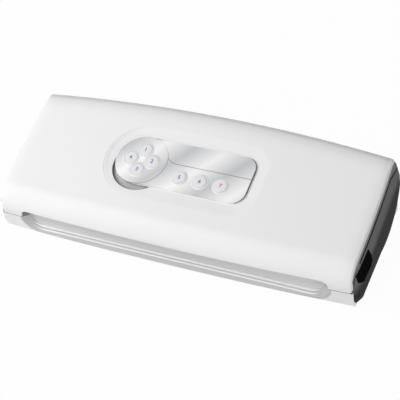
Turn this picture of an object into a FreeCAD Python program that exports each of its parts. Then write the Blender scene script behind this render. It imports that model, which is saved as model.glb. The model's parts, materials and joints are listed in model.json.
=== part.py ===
import FreeCAD, Part
import math
import os
import re

import Sketcher
from FreeCAD import Placement, Rotation, Vector

# Household vacuum sealer: a hinged lid over a base with a heated seal bar and a vacuum channel.
# Millimetres, +Z up, front towards -Y, origin on the standing surface under the middle.

SIZES = {
    # Outer form
    "lid_length": 364,
    "end_depth": 128.5,
    "front_bow": 4,
    "back_bow": 8.4,
    "end_bow": 1.8,
    "crown": 4,
    "back_height": 70.9,
    "top_angle": 11.1,
    "nose_radius": 24.4,
    "rear_radius": 8,
    "seam_height": 22,
    "end_roll": 3,
    "end_flange": 3.2,
    "end_wall": 2.2,
    "lid_wall": 2.5,
    "parting_gap": 1,
    "foot_height": 2,
    "running_gap": 0.3,
    # Bag mouth and the scoop in front of it
    "mouth_inset": 22,
    "mouth_rise": 1,
    "mouth_corner": 8,
    "scoop_corner": 16,
    "scoop_slope": 49,
    "scoop_lip_height": 5.4,
    "scoop_inner_setback": 4.1,
    "scoop_depth": 7,
    "guide_wall": 2,
    "bead_radius": 0.8,
    "bead_pitch": 2.2,
    "bead_inset": 0.6,
    # End trims and cheeks
    "trim_height": 8.5,
    "trim_thickness": 1.5,
    "trim_front_inset": 3,
    "ear_length": 20.4,
    "ear_height": 15,
    "cheek_offset": 0.8,
    "cheek_thickness": 3.4,
    "cheek_bevel": 14,
    "cheek_inset": 0.6,
    "cheek_draft": 1.4,
    "cheek_front_draft": 7,
    "cheek_toe": 6,
    "cheek_chin": 8,
    "cheek_tail_arc": 17,
    "cheek_nose_radius": 14,
    "cheek_tail_height": 36,
    "cheek_belly_height": 15.5,
    "cheek_sole_height": 5.5,
    # Control panel, set in a dish in the lid
    "panel_y": 2.55,
    "panel_sink": 0.4,
    "panel_right": 62.7,
    "panel_half_width": 26,
    "panel_corner": 13,
    "panel_thickness": 4,
    "disc_x": -52,
    "disc_radius": 26.4,
    "disc_rise": 0.3,
    "groove_width": 0.6,
    "groove_depth": 0.6,
    "groove_height": 3,
    "groove_start": 36.6,
    "groove_turn": 16,
    "dish_margin": 10.5,
    "dish_inner": 1.5,
    "dish_depth": 1.2,
    "trough_depth": 3.6,
    "trough_radius": 28.3,
    "trough_shift": 0.8,
    "trough_drop": 5.5,
    "seat_depth": 9,
    "seat_rim": 3.5,
    # Push buttons
    "button_radius": 6.6,
    "button_flange": 1.2,
    "button_flange_height": 1,
    "button_crown": 0.5,
    "button_gap": 0.1,
    "button_edge": 0.6,
    "cluster_radius": 11.4,
    "row_start": -7.1,
    "row_pitch": 21.3,
    "row_offset": -10.8,
    "ring_width": 0.8,
    "ring_rise": 0.4,
    "board_thickness": 1.6,
    "board_margin": 1.5,
    "switch_size": 6,
    "switch_height": 2.4,
    # Decks and inner panel
    "deck_thickness": 2.5,
    "deck_lap": 0.5,
    "deck_inset": 0.8,
    "rear_deck_height": 41.5,
    "riser_gap": 5.5,
    "ledge_drop": 7,
    "lid_gap": 6.4,
    "inner_panel_wall": 2,
    "inner_panel_inset": 5,
    "inner_front_setback": 6.1,
    "riser_clearance": 2,
    "rear_lid_gap": 3,
    "rear_panel_gap": 3.7,
    "boss_radius": 4,
    "boss_inset": 32,
    "boss_front_gap": 3.2,
    "boss_rear_inset": 14,
    # Seal bar, vacuum channel and gaskets
    "seal_setback": 7.6,
    "seal_overlap": 2,
    "seal_bar_width": 8,
    "seal_bar_height": 1.1,
    "heater_width": 2.4,
    "heater_inset": 2,
    "heater_thickness": 0.2,
    "tape_width": 6.4,
    "tape_inset": 1,
    "tape_thickness": 0.15,
    "strip_gap": 0.45,
    "strip_width": 6,
    "channel_setback": 24.7,
    "channel_end_inset": 5,
    "channel_half_width": 7.5,
    "channel_depth": 9,
    "channel_wall": 2,
    "gasket_margin": 1.5,
    "gasket_width": 4.5,
    "gasket_height": 2.1,
    "gasket_gap": 0.3,
    "gasket_corner": 6,
    "tray_wall": 1.2,
    "tray_depth": 5,
    # Hinges
    "hinge_inset": 1.1,
    "hinge_rise": 2.5,
    "rear_edge_drop": 4,
    "hinge_x": 90,
    "knuckle_radius": 3.5,
    "pin_radius": 1.5,
    "pin_gap": 0.05,
    "arm_width": 12,
    "bracket_width": 9,
    "arm_gap": 0.4,
    "arm_reach": 14.5,
    "arm_thickness": 3.5,
    "bracket_tab_length": 9,
    "bracket_tab_height": 2.4,
    "bracket_overlap": 1,
    # Lid catch and release buttons
    "hook_inset": 12,
    "hook_width": 4,
    "hook_gap": 4.4,
    "hook_depth": 8,
    "hook_toe": 3,
    "hook_clearance": 0.5,
    "slot_margin": 2,
    "slot_swing": 6,
    "release_stroke": 2.5,
    "release_setback": 10,
    "release_length": 32,
    "release_low": 19,
    "release_height": 19,
    "release_skew": 10,
    "release_corner": 4,
    "release_proud": 0.5,
    "release_gap": 0.4,
    "release_back_gap": 0.2,
    "tail_setback": 10,
    "tail_length": 12,
    "tail_drop": 7.5,
    "tail_overlap": 2,
    "tail_thickness": 2.6,
    "slide_height": 3,
    "slide_lap": 2,
    "slide_foot": 2,
    "slide_side_gap": 1,
    "nose_length": 4,
    "nose_rise": 6,
    # Housing, bottom cover, feet and screws
    "housing_floor": 4,
    "housing_wall": 2.5,
    "front_wall": 4.1,
    "lip_top_inset": 0.4,
    "lip_inset": 1.2,
    "lip_rise": 1.2,
    "sole_front_inset": 3,
    "sole_rear_inset": 7,
    "sole_rear_rise": 4,
    "rear_wall_inset": 0.6,
    "rear_wall_taper": 3,
    "cover_thickness": 2,
    "cover_end_inset": 8.3,
    "cover_side_inset": 4.2,
    "cover_rebate": 4,
    "vent_length": 22,
    "vent_width": 2.4,
    "vent_pitch": 6,
    "vent_x": 60,
    "foot_radius": 8,
    "foot_end_inset": 22,
    "foot_side_inset": 12,
    "foot_taper": 1,
    "screw_radius": 1.5,
    "screw_head_radius": 2.8,
    "screw_head_height": 1.2,
    "screw_length": 9,
    "screw_tip_gap": 1,
    "screw_gap": 0.15,
    # Pump, power supply and cord gland
    "motor_radius": 13,
    "motor_length": 48,
    "motor_x": -60,
    "motor_boss_length": 4,
    "terminal_width": 18,
    "terminal_height": 3,
    "terminal_length": 2,
    "terminal_rise": 4,
    "pump_length": 34,
    "pump_width": 30,
    "pump_rise": 11,
    "pump_dome_radius": 10,
    "pump_dome_height": 3,
    "nozzle_length": 6,
    "cradle_width": 30,
    "cradle_length": 36,
    "cradle_floor": 2,
    "cradle_drop": 4,
    "hose_radius": 3.6,
    "hose_bore": 2.2,
    "hose_clearance": 0.5,
    "hose_run": 12,
    "hose_bend": 10,
    "transformer_x": 95,
    "transformer_length": 44,
    "transformer_width": 36,
    "transformer_height": 28,
    "coil_overhang": 7,
    "coil_step": 5,
    "coil_length": 22,
    "power_board_inset": 3,
    "power_board_length": 75,
    "power_board_width": 42,
    "power_board_height": 9,
    "power_post_radius": 3,
    "power_post_inset": 6,
    "relay_length": 20,
    "relay_width": 16,
    "relay_height": 14,
    "relay_inset": 12,
    "relay_side_inset": 8,
    "capacitor_radius": 6,
    "capacitor_height": 14,
    "capacitor_inset": 18,
    "capacitor_side_inset": 14,
    "lid_switch_x": 130,
    "lid_switch_length": 20,
    "lid_switch_width": 6.4,
    "lid_switch_height": 10,
    "lid_switch_gap": 1,
    "switch_tab_length": 3,
    "switch_tab_width": 2,
    "switch_tab_inset": 2,
    "gland_x": 140,
    "gland_height": 18,
    "gland_radius": 6,
    "gland_bore": 3.5,
    "gland_flange": 2,
    "gland_flange_length": 2,
    "gland_proud": 3,
}

doc = FreeCAD.newDocument("vacuum_sealer")
sheet = doc.addObject("Spreadsheet::Sheet", "sizes")
for row, (alias, value) in enumerate(SIZES.items(), start=1):
    sheet.set(f"A{row}", alias)
    sheet.set(f"B{row}", str(value))
    sheet.setAlias(f"B{row}", alias)
doc.recompute()


class Size:
    """A length with its value and the formula that ties it to the sheet."""

    def __init__(self, value, formula):
        self.value = float(value)
        self.formula = formula

    def __float__(self):
        return self.value

    def __neg__(self):
        return Size(-self.value, f"(0 - {self.formula})")

    def __add__(self, other):
        other = as_size(other)
        return Size(self.value + other.value, f"({self.formula} + {other.formula})")

    def __radd__(self, other):
        return as_size(other) + self

    def __sub__(self, other):
        other = as_size(other)
        return Size(self.value - other.value, f"({self.formula} - {other.formula})")

    def __rsub__(self, other):
        return as_size(other) - self

    def __mul__(self, other):
        other = as_size(other)
        return Size(self.value * other.value, f"({self.formula} * {other.formula})")

    def __rmul__(self, other):
        return as_size(other) * self

    def __truediv__(self, other):
        other = as_size(other)
        return Size(self.value / other.value, f"({self.formula} / {other.formula})")


def as_size(number):
    """A plain number as a size."""
    if isinstance(number, Size):
        return number
    return Size(number, repr(float(number)))


class Cells:
    """The cells of the sheet, read by their names."""

    def __getattr__(self, alias):
        return Size(sheet.get(alias), f"sizes.{alias}")


s = Cells()
NODES = {}


def bind(item, **formulas):
    """Tie properties of an object to sizes."""
    for prop, length in formulas.items():
        item.setExpression(prop.replace("_at_", "."), as_size(length).formula)


def node(name, item):
    """Keep an object as a sub-part under its own name."""
    item.Label = name
    NODES[name] = item
    return item


def box(name, xs, ys, zs):
    """A block between two bounds along each axis."""
    item = doc.addObject("Part::Box", name)
    bind(item, Length=xs[1] - xs[0], Width=ys[1] - ys[0], Height=zs[1] - zs[0])
    bind(item, Placement_at_Base_at_x=xs[0], Placement_at_Base_at_y=ys[0], Placement_at_Base_at_z=zs[0])
    return item


AXES = {
    "X": Rotation(Vector(0, 1, 0), 90),
    "Y": Rotation(Vector(1, 0, 0), -90),
    "Z": Rotation(),
}


def cylinder(name, start, radius, length, axis="Z"):
    """A cylinder that starts at a point and runs along +X, +Y or +Z."""
    item = doc.addObject("Part::Cylinder", name)
    item.Placement.Rotation = AXES[axis]
    bind(item, Radius=radius, Height=length)
    for letter, length in zip("xyz", start):
        item.setExpression(f"Placement.Base.{letter}", as_size(length).formula)
    return item


def fuse(name, pieces):
    """One object from several; pieces that do not touch stay separate solids."""
    item = doc.addObject("Part::MultiFuse", name)
    item.Shapes = pieces
    return item


def cut(name, base, tools):
    """A base with tools taken out of it."""
    item = doc.addObject("Part::Cut", name)
    item.Base = base
    item.Tool = tools[0] if len(tools) == 1 else fuse(name + "_tools", tools)
    return item


def mirrored(name, source):
    """A copy on the other end of the sealer."""
    item = doc.addObject("Part::Mirroring", name)
    item.Source = source
    item.Normal = Vector(1, 0, 0)
    return item


def coded(name, shape):
    """An object whose shape is worked out here from the sheet."""
    item = doc.addObject("Part::Feature", name)
    item.Shape = shape
    return item


def both_ends(name, make):
    """Left and right copies of one piece, as separate solids of one object."""
    right = make(name + "_right")
    return fuse(name, [right, mirrored(name + "_left", right)])


# PartDesign helpers

def origin_plane(body, role):
    return [plane for plane in body.Origin.OriginFeatures if plane.Role == role][0]


def sketch_on(body, name, role, offset):
    """A sketch parallel to one of the body's own origin planes."""
    sketch = body.newObject("Sketcher::SketchObject", name)
    sketch.AttachmentSupport = [(origin_plane(body, role), "")]
    sketch.MapMode = "FlatFace"
    sketch.setExpression("AttachmentOffset.Base.z", as_size(offset).formula)
    return sketch


def fix_point(sketch, geometry, point, place):
    """Hold a sketch point at a place measured from the origin."""
    for kind, length in zip(("DistanceX", "DistanceY"), place):
        index = sketch.addConstraint(Sketcher.Constraint(kind, -1, 1, geometry, point, float(length)))
        sketch.setExpression(f"Constraints[{index}]", as_size(length).formula)


def draw_polygon(sketch, corners):
    """A closed outline through corners, each held by its two coordinates."""
    first = sketch.GeometryCount
    count = len(corners)
    points = [Vector(float(u), float(v), 0) for u, v in corners]
    for index in range(count):
        sketch.addGeometry(Part.LineSegment(points[index], points[(index + 1) % count]))
    for index in range(count):
        following = first + (index + 1) % count
        sketch.addConstraint(Sketcher.Constraint("Coincident", first + index, 2, following, 1))
        fix_point(sketch, first + index, 1, corners[index])


def draw_circle(sketch, centre, radius):
    """A circle held by its centre and radius."""
    middle = Vector(float(centre[0]), float(centre[1]), 0)
    index = sketch.addGeometry(Part.Circle(middle, Vector(0, 0, 1), float(radius)))
    fix_point(sketch, index, 3, centre)
    held = sketch.addConstraint(Sketcher.Constraint("Radius", index, float(radius)))
    sketch.setExpression(f"Constraints[{held}]", as_size(radius).formula)


def draw_sector(sketch, centre, inner, outer, angles):
    """Part of a ring between two radii and two angles."""
    first = sketch.GeometryCount
    middle = Vector(float(centre[0]), float(centre[1]), 0)
    turns = [math.radians(angle) for angle in angles]

    def corner(radius, turn):
        return centre[0] + radius * math.cos(turn), centre[1] + radius * math.sin(turn)

    places = ((inner, 0), (outer, 0), (outer, 1), (inner, 1))
    corners = [corner(radius, turns[number]) for radius, number in places]
    points = [Vector(float(u), float(v), 0) for u, v in corners]
    for start, radius in ((0, outer), (2, inner)):
        sketch.addGeometry(Part.LineSegment(points[start], points[start + 1]))
        sketch.addGeometry(Part.ArcOfCircle(Part.Circle(middle, Vector(0, 0, 1), float(radius)), *turns))
    ends = ((first, 1), (first, 2), (first + 2, 1), (first + 2, 2))
    for (geometry, point), place in zip(ends, corners):
        fix_point(sketch, geometry, point, place)
    links = ((first + 1, 1, first, 2), (first + 1, 2, first + 2, 1),
             (first + 3, 2, first + 2, 2), (first + 3, 1, first, 1))
    for link in links:
        sketch.addConstraint(Sketcher.Constraint("Coincident", *link))
    for geometry, radius in ((first + 1, outer), (first + 3, inner)):
        held = sketch.addConstraint(Sketcher.Constraint("Radius", geometry, float(radius)))
        sketch.setExpression(f"Constraints[{held}]", as_size(radius).formula)


def new_body(name):
    return doc.addObject("PartDesign::Body", name)


def pad(body, name, role, span, draw):
    """Add what draw() puts in a sketch, between two offsets from an origin plane."""
    sketch = sketch_on(body, name + "_sketch", role, span[0])
    draw(sketch)
    feature = body.newObject("PartDesign::Pad", name)
    feature.Profile = sketch
    feature.setExpression("Length", as_size(span[1] - span[0]).formula)
    doc.recompute()
    return feature


def pocket(body, name, role, span, draw):
    """Take away what draw() puts in a sketch, between two offsets from an origin plane."""
    before = body.Shape.Volume
    sketch = sketch_on(body, name + "_sketch", role, span[1])
    draw(sketch)
    feature = body.newObject("PartDesign::Pocket", name)
    feature.Profile = sketch
    feature.setExpression("Length", as_size(span[1] - span[0]).formula)
    doc.recompute()
    if body.Shape.Volume >= before:
        raise RuntimeError(f"{name} cuts nothing")
    return feature


def round_edges(body, name, base, chosen, radius):
    """Fillet those edges of a feature that chosen(edge) picks."""
    names = [f"Edge{n}" for n, edge in enumerate(base.Shape.Edges, start=1) if chosen(edge)]
    feature = body.newObject("PartDesign::Fillet", name)
    feature.Base = (base, names)
    feature.setExpression("Radius", as_size(radius).formula)
    doc.recompute()
    return feature


def rectangle(us, vs):
    return [(us[0], vs[0]), (us[1], vs[0]), (us[1], vs[1]), (us[0], vs[1])]


def runs_along(axis):
    """A test for straight edges along an axis."""
    def chosen(edge):
        if edge.Curve.TypeId != "Part::GeomLine":
            return False
        return abs(edge.Curve.Direction.dot(axis)) > 0.999
    return chosen


# Skeleton

depth = s.end_depth + s.front_bow + s.back_bow
front_end = s.front_bow - depth / 2
back_end = depth / 2 - s.back_bow
half_length = s.lid_length / 2
hinge_y = back_end - s.hinge_inset
deck_front = front_end + s.scoop_depth + s.guide_wall - s.deck_lap
deck_underside = s.seam_height - s.parting_gap
deck_top = deck_underside + s.deck_thickness
riser_y = hinge_y - s.riser_gap
rear_underside = s.rear_deck_height - s.deck_thickness
housing_end = half_length + s.cheek_offset
cavity_end = housing_end - s.housing_wall
cavity_floor = s.foot_height + s.housing_floor
cavity_front = front_end + s.scoop_depth + s.guide_wall + s.front_wall
mouth_half = half_length - s.mouth_inset
panel_floor = deck_top + s.lid_gap
mouth_top = panel_floor + s.mouth_rise
rear_panel_height = s.rear_deck_height + s.rear_lid_gap
rear_panel_end = riser_y - s.rear_panel_gap
inner_panel_half = half_length - s.inner_panel_inset
hinge_height = s.rear_deck_height + s.hinge_rise
rear_edge_height = hinge_height - s.rear_edge_drop
ledge_height = rear_edge_height - s.ledge_drop
seal_y = deck_front + s.seal_setback
seal_half = mouth_half + s.seal_overlap
channel_y = seal_y + s.channel_setback
channel_half = mouth_half - s.channel_end_inset
gasket_reach = s.channel_half_width + s.gasket_margin + s.gasket_width
lid_riser_y = channel_y + gasket_reach
step_y = lid_riser_y + s.riser_clearance + s.deck_thickness
works_y = (step_y + riser_y) / 2
boss_x = half_length - s.boss_inset
boss_front_y = seal_y + s.seal_bar_width / 2 + s.boss_front_gap
boss_rear_y = rear_panel_end - s.boss_rear_inset
release_front = front_end + s.release_setback
release_back = release_front + s.release_length
release_high = s.release_low + s.release_height
release_inner = housing_end - s.release_back_gap
tail_front = release_front + s.tail_setback
tail_back = tail_front + s.tail_length
tail_high = s.release_low + s.tail_overlap
tail_low = s.release_low - s.tail_drop
hook_x = half_length - s.hook_inset
hook_y = tail_back + s.hook_gap
slide_top = tail_low + s.slide_lap
hook_low = slide_top + s.hook_clearance
nose_top = hook_low + s.nose_rise
cover_half = cavity_end - s.cover_end_inset
cover_front = cavity_front + s.cover_side_inset
cover_back = riser_y - s.housing_wall - s.cover_side_inset
works_floor = s.foot_height + s.cover_thickness
works_axis = works_floor + s.cradle_floor + s.motor_radius
hose_height = deck_top - s.channel_depth - s.channel_wall + s.hose_radius + s.hose_clearance
slope = math.tan(math.radians(float(s.top_angle)))
cosine = math.cos(math.radians(float(s.top_angle)))
sine = math.sin(math.radians(float(s.top_angle)))
PAST = 1  # how far a cutting tool reaches past what it cuts


def bow_factor(x):
    """1 in the middle of the length, falling to 0 at the ends of the lid."""
    return 1 - (x / float(half_length)) ** 2


def section_wire(x, points):
    """A closed wire across the sealer from points (y, z); a triple is an arc's middle and end."""
    edges = []
    start = Vector(x, *points[0])
    for entry in points[1:] + [points[0]]:
        if len(entry) == 2:
            end = Vector(x, *entry)
            edges.append(Part.LineSegment(start, end).toShape())
        else:
            middle, end = (Vector(x, *place) for place in entry[1:])
            edges.append(Part.Arc(start, middle, end).toShape())
        start = end
    return Part.Wire(edges)


def lid_section(x, inset, low_front, low_back, sink=0.0):
    """Outline across the lid at a station: front wall, nose, sloping top, rear edge and rear wall."""
    bow = bow_factor(x)
    front = float(front_end) - float(s.front_bow) * bow + inset
    back = float(back_end) + float(s.back_bow) * bow
    top_at_back = float(s.back_height) + float(s.crown) * bow - inset / cosine - sink
    nose = float(s.nose_radius) - inset
    rear = float(s.rear_radius) - inset

    def top(y):
        return top_at_back - slope * (back - y)

    nose_y = front + nose
    nose_z = top(nose_y) - nose / cosine
    rear_y = back - inset - rear
    rear_z = top(rear_y) - rear / cosine
    nose_turn = math.radians(135 + float(s.top_angle) / 2)
    rear_turn = math.radians(45 + float(s.top_angle) / 2)
    return section_wire(x, [
        (front, low_front),
        (front, nose_z),
        ("arc", (nose_y + nose * math.cos(nose_turn), nose_z + nose * math.sin(nose_turn)),
         (nose_y - nose * sine, nose_z + nose * cosine)),
        (rear_y - rear * sine, rear_z + rear * cosine),
        ("arc", (rear_y + rear * math.cos(rear_turn), rear_z + rear * math.sin(rear_turn)),
         (back - inset, rear_z)),
        (back - inset, low_back),
    ])


def stations():
    """Places along the length where the bowed sections are drawn."""
    reach = float(half_length) + 2 * float(s.end_bow) + float(s.cheek_thickness)
    return (-reach, 0.0, reach)


def lid_solid(inset, low_front, low_back):
    """The lid's form filled in, moved inwards by inset."""
    wires = [lid_section(x, inset, low_front, low_back) for x in stations()]
    return Part.makeLoft(wires, True, False)


def plan_prism(offset):
    """A tall block over the lid's plan, whose ends bow outwards."""
    half = float(half_length) + offset
    wide = float(depth) / 2
    low, high = -10.0, 2 * float(s.back_height)
    corners = [Vector(x, y, low) for x, y in ((-half, -wide), (half, -wide), (half, wide), (-half, wide))]
    right = Vector(half + float(s.end_bow), 0, low)
    left = Vector(-half - float(s.end_bow), 0, low)
    outline = Part.Wire([
        Part.LineSegment(corners[0], corners[1]).toShape(),
        Part.Arc(corners[1], right, corners[2]).toShape(),
        Part.LineSegment(corners[2], corners[3]).toShape(),
        Part.Arc(corners[3], left, corners[0]).toShape(),
    ])
    return Part.Face(outline).extrude(Vector(0, 0, high - low))


def block(xs, ys, zs):
    """A plain block as a shape."""
    low = Vector(float(xs[0]), float(ys[0]), float(zs[0]))
    return Part.makeBox(*(float(span[1]) - float(span[0]) for span in (xs, ys, zs)), low)


def front_outline(y, half, low, high, corner):
    """An outline seen from the front, with its lower corners rounded."""
    turn = corner * (1 - math.sqrt(0.5))
    edges = [
        Part.LineSegment(Vector(-half, y, high), Vector(-half, y, low + corner)).toShape(),
        Part.Arc(Vector(-half, y, low + corner), Vector(-half + turn, y, low + turn),
                 Vector(-half + corner, y, low)).toShape(),
        Part.LineSegment(Vector(-half + corner, y, low), Vector(half - corner, y, low)).toShape(),
        Part.Arc(Vector(half - corner, y, low), Vector(half - turn, y, low + turn),
                 Vector(half, y, low + corner)).toShape(),
        Part.LineSegment(Vector(half, y, low + corner), Vector(half, y, high)).toShape(),
        Part.LineSegment(Vector(half, y, high), Vector(-half, y, high)).toShape(),
    ]
    return Part.Wire(edges)


# Control panel frame: x along the sealer, v up the slope, w square to the lid's top

panel_setback = back_end + s.back_bow - s.panel_y
panel_height = float(s.back_height + s.crown - s.panel_sink) - slope * float(panel_setback)
panel_place = Vector(0, float(s.panel_y), panel_height)
panel_frame = Placement(panel_place, Rotation(Vector(1, 0, 0), float(s.top_angle)))


def in_panel(shape):
    """Move a shape drawn in the panel's frame to its place."""
    shape.Placement = panel_frame.multiply(shape.Placement)
    return shape


def panel_outline(offset, w):
    """The panel's outline grown by an offset: a round left end and two rounded right corners."""
    disc = float(s.disc_x)
    right = float(s.panel_right) + offset
    half = float(s.panel_half_width) + offset
    corner = float(s.panel_corner) + offset
    turn = corner * (1 - math.sqrt(0.5))
    edges = [
        Part.LineSegment(Vector(disc, -half, w), Vector(right - corner, -half, w)).toShape(),
        Part.Arc(Vector(right - corner, -half, w), Vector(right - turn, -half + turn, w),
                 Vector(right, -half + corner, w)).toShape(),
        Part.LineSegment(Vector(right, -half + corner, w), Vector(right, half - corner, w)).toShape(),
        Part.Arc(Vector(right, half - corner, w), Vector(right - turn, half - turn, w),
                 Vector(right - corner, half, w)).toShape(),
        Part.LineSegment(Vector(right - corner, half, w), Vector(disc, half, w)).toShape(),
        Part.Arc(Vector(disc, half, w), Vector(disc - half, 0, w), Vector(disc, -half, w)).toShape(),
    ]
    return Part.Wire(edges)


def panel_prism(offset, low, high):
    """A block over the panel's outline between two heights above its plane."""
    return in_panel(Part.Face(panel_outline(offset, low)).extrude(Vector(0, 0, high - low)))


# Lid shell

def dish_cutter():
    """The shallow dish around the panel, sloping down to it."""
    rim_height = 2 * float(s.dish_depth)
    margin = float(s.dish_margin)
    floor = -float(s.dish_depth)
    spread = margin * (1 + (rim_height + floor) / float(s.dish_depth))
    wires = [panel_outline(float(s.dish_inner), floor), panel_outline(spread, rim_height + floor)]
    return in_panel(Part.makeLoft(wires, True, True))


def trough_cutter():
    """The crescent-shaped trough beside the free edge of the disc."""
    centre = Vector(float(s.disc_x + s.trough_shift), -float(s.trough_drop), -float(s.trough_depth))
    return in_panel(Part.makeCylinder(float(s.trough_radius), 2 * float(s.seat_depth), centre))


def lid_bosses():
    """Posts from the inner panel up to the lid's top."""
    radius = float(s.boss_radius)
    posts = []
    for y, low in ((boss_front_y, panel_floor + s.inner_panel_wall),
                   (boss_rear_y, rear_panel_height + s.inner_panel_wall)):
        for x in (-float(boss_x), float(boss_x)):
            posts.append(Part.makeCylinder(radius, float(s.back_height), Vector(x, float(y), float(low))))
    return posts


def screw_bores(radius):
    """Bores for the lid's screws, one in each boss."""
    bores = []
    for y, low in ((boss_front_y, panel_floor), (boss_rear_y, rear_panel_height)):
        for x in (-float(boss_x), float(boss_x)):
            bores.append(Part.makeCylinder(radius, float(s.screw_length), Vector(x, float(y), float(low))))
    return bores


# End trims and cheeks

def side_prism(sink, low, high):
    """The lid's end profile, sunk by some height, as a block between two x values."""
    wire = lid_section(float(half_length), 0.0, -40.0, -40.0, sink)
    face = Part.Face(wire)
    face.translate(Vector(low - float(half_length), 0, 0))
    return face.extrude(Vector(high - low, 0, 0))


def ear_wedge(drop, low, high):
    """The space over the ear's lower edge, at the rear of the lid's end."""
    start_y = float(back_end - s.ear_length)
    start_z = float(s.back_height) - slope * float(s.ear_length) - float(s.trim_height) - drop
    end_z = float(s.back_height - s.ear_height) - drop
    far = float(back_end + s.ear_length)
    far_z = 2 * end_z - start_z
    high = 2 * float(s.back_height)
    corners = ((start_y, start_z), (far, far_z), (far, high), (start_y, high))
    points = [Vector(low, y, z) for y, z in corners]
    face = Part.Face(Part.makePolygon(points + points[:1]))
    return face.extrude(Vector(high - low, 0, 0))


def end_bands(inner_offset):
    """Bands along both ends of the lid's plan, down to the trims' lower edge."""
    ring = plan_prism(0.0).cut(plan_prism(inner_offset))
    reach = float(half_length + s.end_bow) + PAST
    below = side_prism(float(s.trim_height), -reach, reach).cut(ear_wedge(0.0, -reach, reach))
    return ring.cut(below)


def trim_strips():
    """The strips let into both ends of the lid, each with an ear at the rear."""
    reach = float(half_length + s.end_bow) + PAST
    bands = end_bands(-float(s.trim_thickness)).common(side_prism(float(s.end_roll), -reach, reach))
    keep = block((-reach, reach), (front_end + s.trim_front_inset, back_end + PAST),
                 (s.seam_height, 2 * s.back_height))
    return bands.common(keep)


def trim_shape():
    """The strip at the right end."""
    return max(trim_strips().Solids, key=lambda strip: strip.CenterOfMass.x)


def end_walls():
    """The lid's end walls, filled in above the stepped inner panel."""
    start = float(inner_panel_half + s.running_gap)
    far = float(depth)
    high = 2 * float(s.back_height)
    step = float(lid_riser_y)
    corners = [(-far, panel_floor), (step, panel_floor), (step, rear_panel_height),
               (far, rear_panel_height), (far, high), (-far, high)]
    points = [Vector(start, float(y), float(z)) for y, z in corners]
    right = Part.Face(Part.makePolygon(points + points[:1])).extrude(Vector(float(s.end_wall), 0, 0))
    return [right, right.mirror(Vector(0, 0, 0), Vector(1, 0, 0))]


def rolled_ends(form):
    """Round the edges where the lid's top, nose and rear edge meet its two ends."""
    reach = float(half_length) - PAST
    low = float(s.seam_height) + PAST

    def at_end(edge):
        return abs(edge.CenterOfMass.x) > reach and edge.BoundBox.ZMax > low and edge.BoundBox.YLength > 0.2

    return form.makeFillet(float(s.end_roll), [edge for edge in form.Edges if at_end(edge)])


def lid_shell_shape():
    outer = rolled_ends(lid_solid(0.0, float(s.seam_height), float(rear_edge_height)).common(plan_prism(0.0)))
    inner = lid_solid(float(s.lid_wall), 0.0, float(ledge_height))
    shell = outer.cut(inner.cut(end_walls() + [end_bands(-float(s.end_flange))]))
    seat = panel_prism(float(s.dish_margin), -float(s.seat_depth), float(s.seat_depth)).common(outer)
    shell = shell.fuse([seat] + [post.common(outer) for post in lid_bosses()])
    mouth = front_outline(-float(depth), float(mouth_half), -float(mouth_top), 0.0, float(s.mouth_corner))
    mouth_block = Part.Face(mouth).extrude(Vector(0, float(depth) + float(deck_front), 0))
    mouth_block = mouth_block.mirror(Vector(0, 0, 0), Vector(0, 0, 1))
    well = panel_prism(-float(s.seat_rim), -2 * float(s.seat_depth), float(s.seat_depth))
    pocket_block = panel_prism(float(s.running_gap), -float(s.panel_thickness), float(s.seat_depth))
    disc_room = Part.makeCylinder(float(s.disc_radius + s.running_gap), 2 * float(s.seat_depth),
                                  Vector(float(s.disc_x), 0, -float(s.panel_thickness)))
    bores = screw_bores(float(s.screw_radius + s.screw_gap))
    tools = [mouth_block, well, pocket_block, in_panel(disc_room)]
    tools += [dish_cutter(), trough_cutter(), trim_strips()]
    return shell.cut(tools + bores).removeSplitter()


def cheek_wire(x, sink, front_draft, tail_draft, nose):
    """Outline of a cheek seen from the end: nose, sloping top, tail and a sole that rises at the rear."""
    front = float(front_end + s.cheek_inset) + front_draft
    tail = float(back_end - s.cheek_inset) - tail_draft
    top_at_back = float(s.back_height) - sink

    def top(y):
        return top_at_back - slope * (float(back_end) - y)

    nose_y = front + nose
    nose_z = top(nose_y) - nose / cosine
    turn = math.radians(135 + float(s.top_angle) / 2)
    low = float(s.foot_height) + tail_draft / 2
    chin = min(low + float(s.cheek_chin), nose_z)
    return section_wire(x, [
        (front, chin),
        (front, nose_z),
        ("arc", (nose_y + nose * math.cos(turn), nose_z + nose * math.sin(turn)),
         (nose_y - nose * sine, nose_z + nose * cosine)),
        (tail, top(tail)),
        (tail, float(s.cheek_tail_height)),
        ("arc", (tail - float(s.cheek_tail_arc), float(s.cheek_belly_height)),
         (0.0, float(s.cheek_sole_height))),
        (front + float(s.cheek_toe), low),
    ])


def cheek_solid():
    """A cheek filled in: an inner outline drawn out to a lower, smaller one."""
    sink = float(s.trim_height + s.parting_gap)
    inner = cheek_wire(float(housing_end), sink, 0.0, 0.0, float(s.nose_radius))
    outer = cheek_wire(float(housing_end + s.cheek_thickness), sink + float(s.cheek_bevel),
                       float(s.cheek_front_draft), float(s.cheek_draft), float(s.cheek_nose_radius))
    return Part.makeLoft([inner, outer], True, True)


def release_outline(x, gap):
    """The release button's long hexagon, grown by a gap."""
    front = float(release_front) - gap
    back = float(release_back) + gap
    low = float(s.release_low) - gap
    high = float(release_high) + gap
    skew = float(s.release_skew)
    middle = (low + high) / 2
    corner = float(s.release_corner)
    corners = [(front + skew, low), (back - corner, low), (back, low + corner), (back - corner / 2, high),
               (front, high - corner * 3 / 4), (front, middle - corner / 2)]
    return Part.Wire(Part.makePolygon([Vector(x, *place) for place in corners + corners[:1]]))


def release_prism(gap, low, high):
    face = Part.Face(release_outline(low, gap))
    return face.extrude(Vector(high - low, 0, 0))


def side_panel_shape():
    cheek = cheek_solid()
    low, high = float(housing_end) - PAST, float(housing_end + s.cheek_thickness) + PAST
    ear = ear_wedge(float(s.parting_gap), low, high)
    window = release_prism(float(s.release_gap), low, high)
    return cheek.cut([ear, window])


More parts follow.
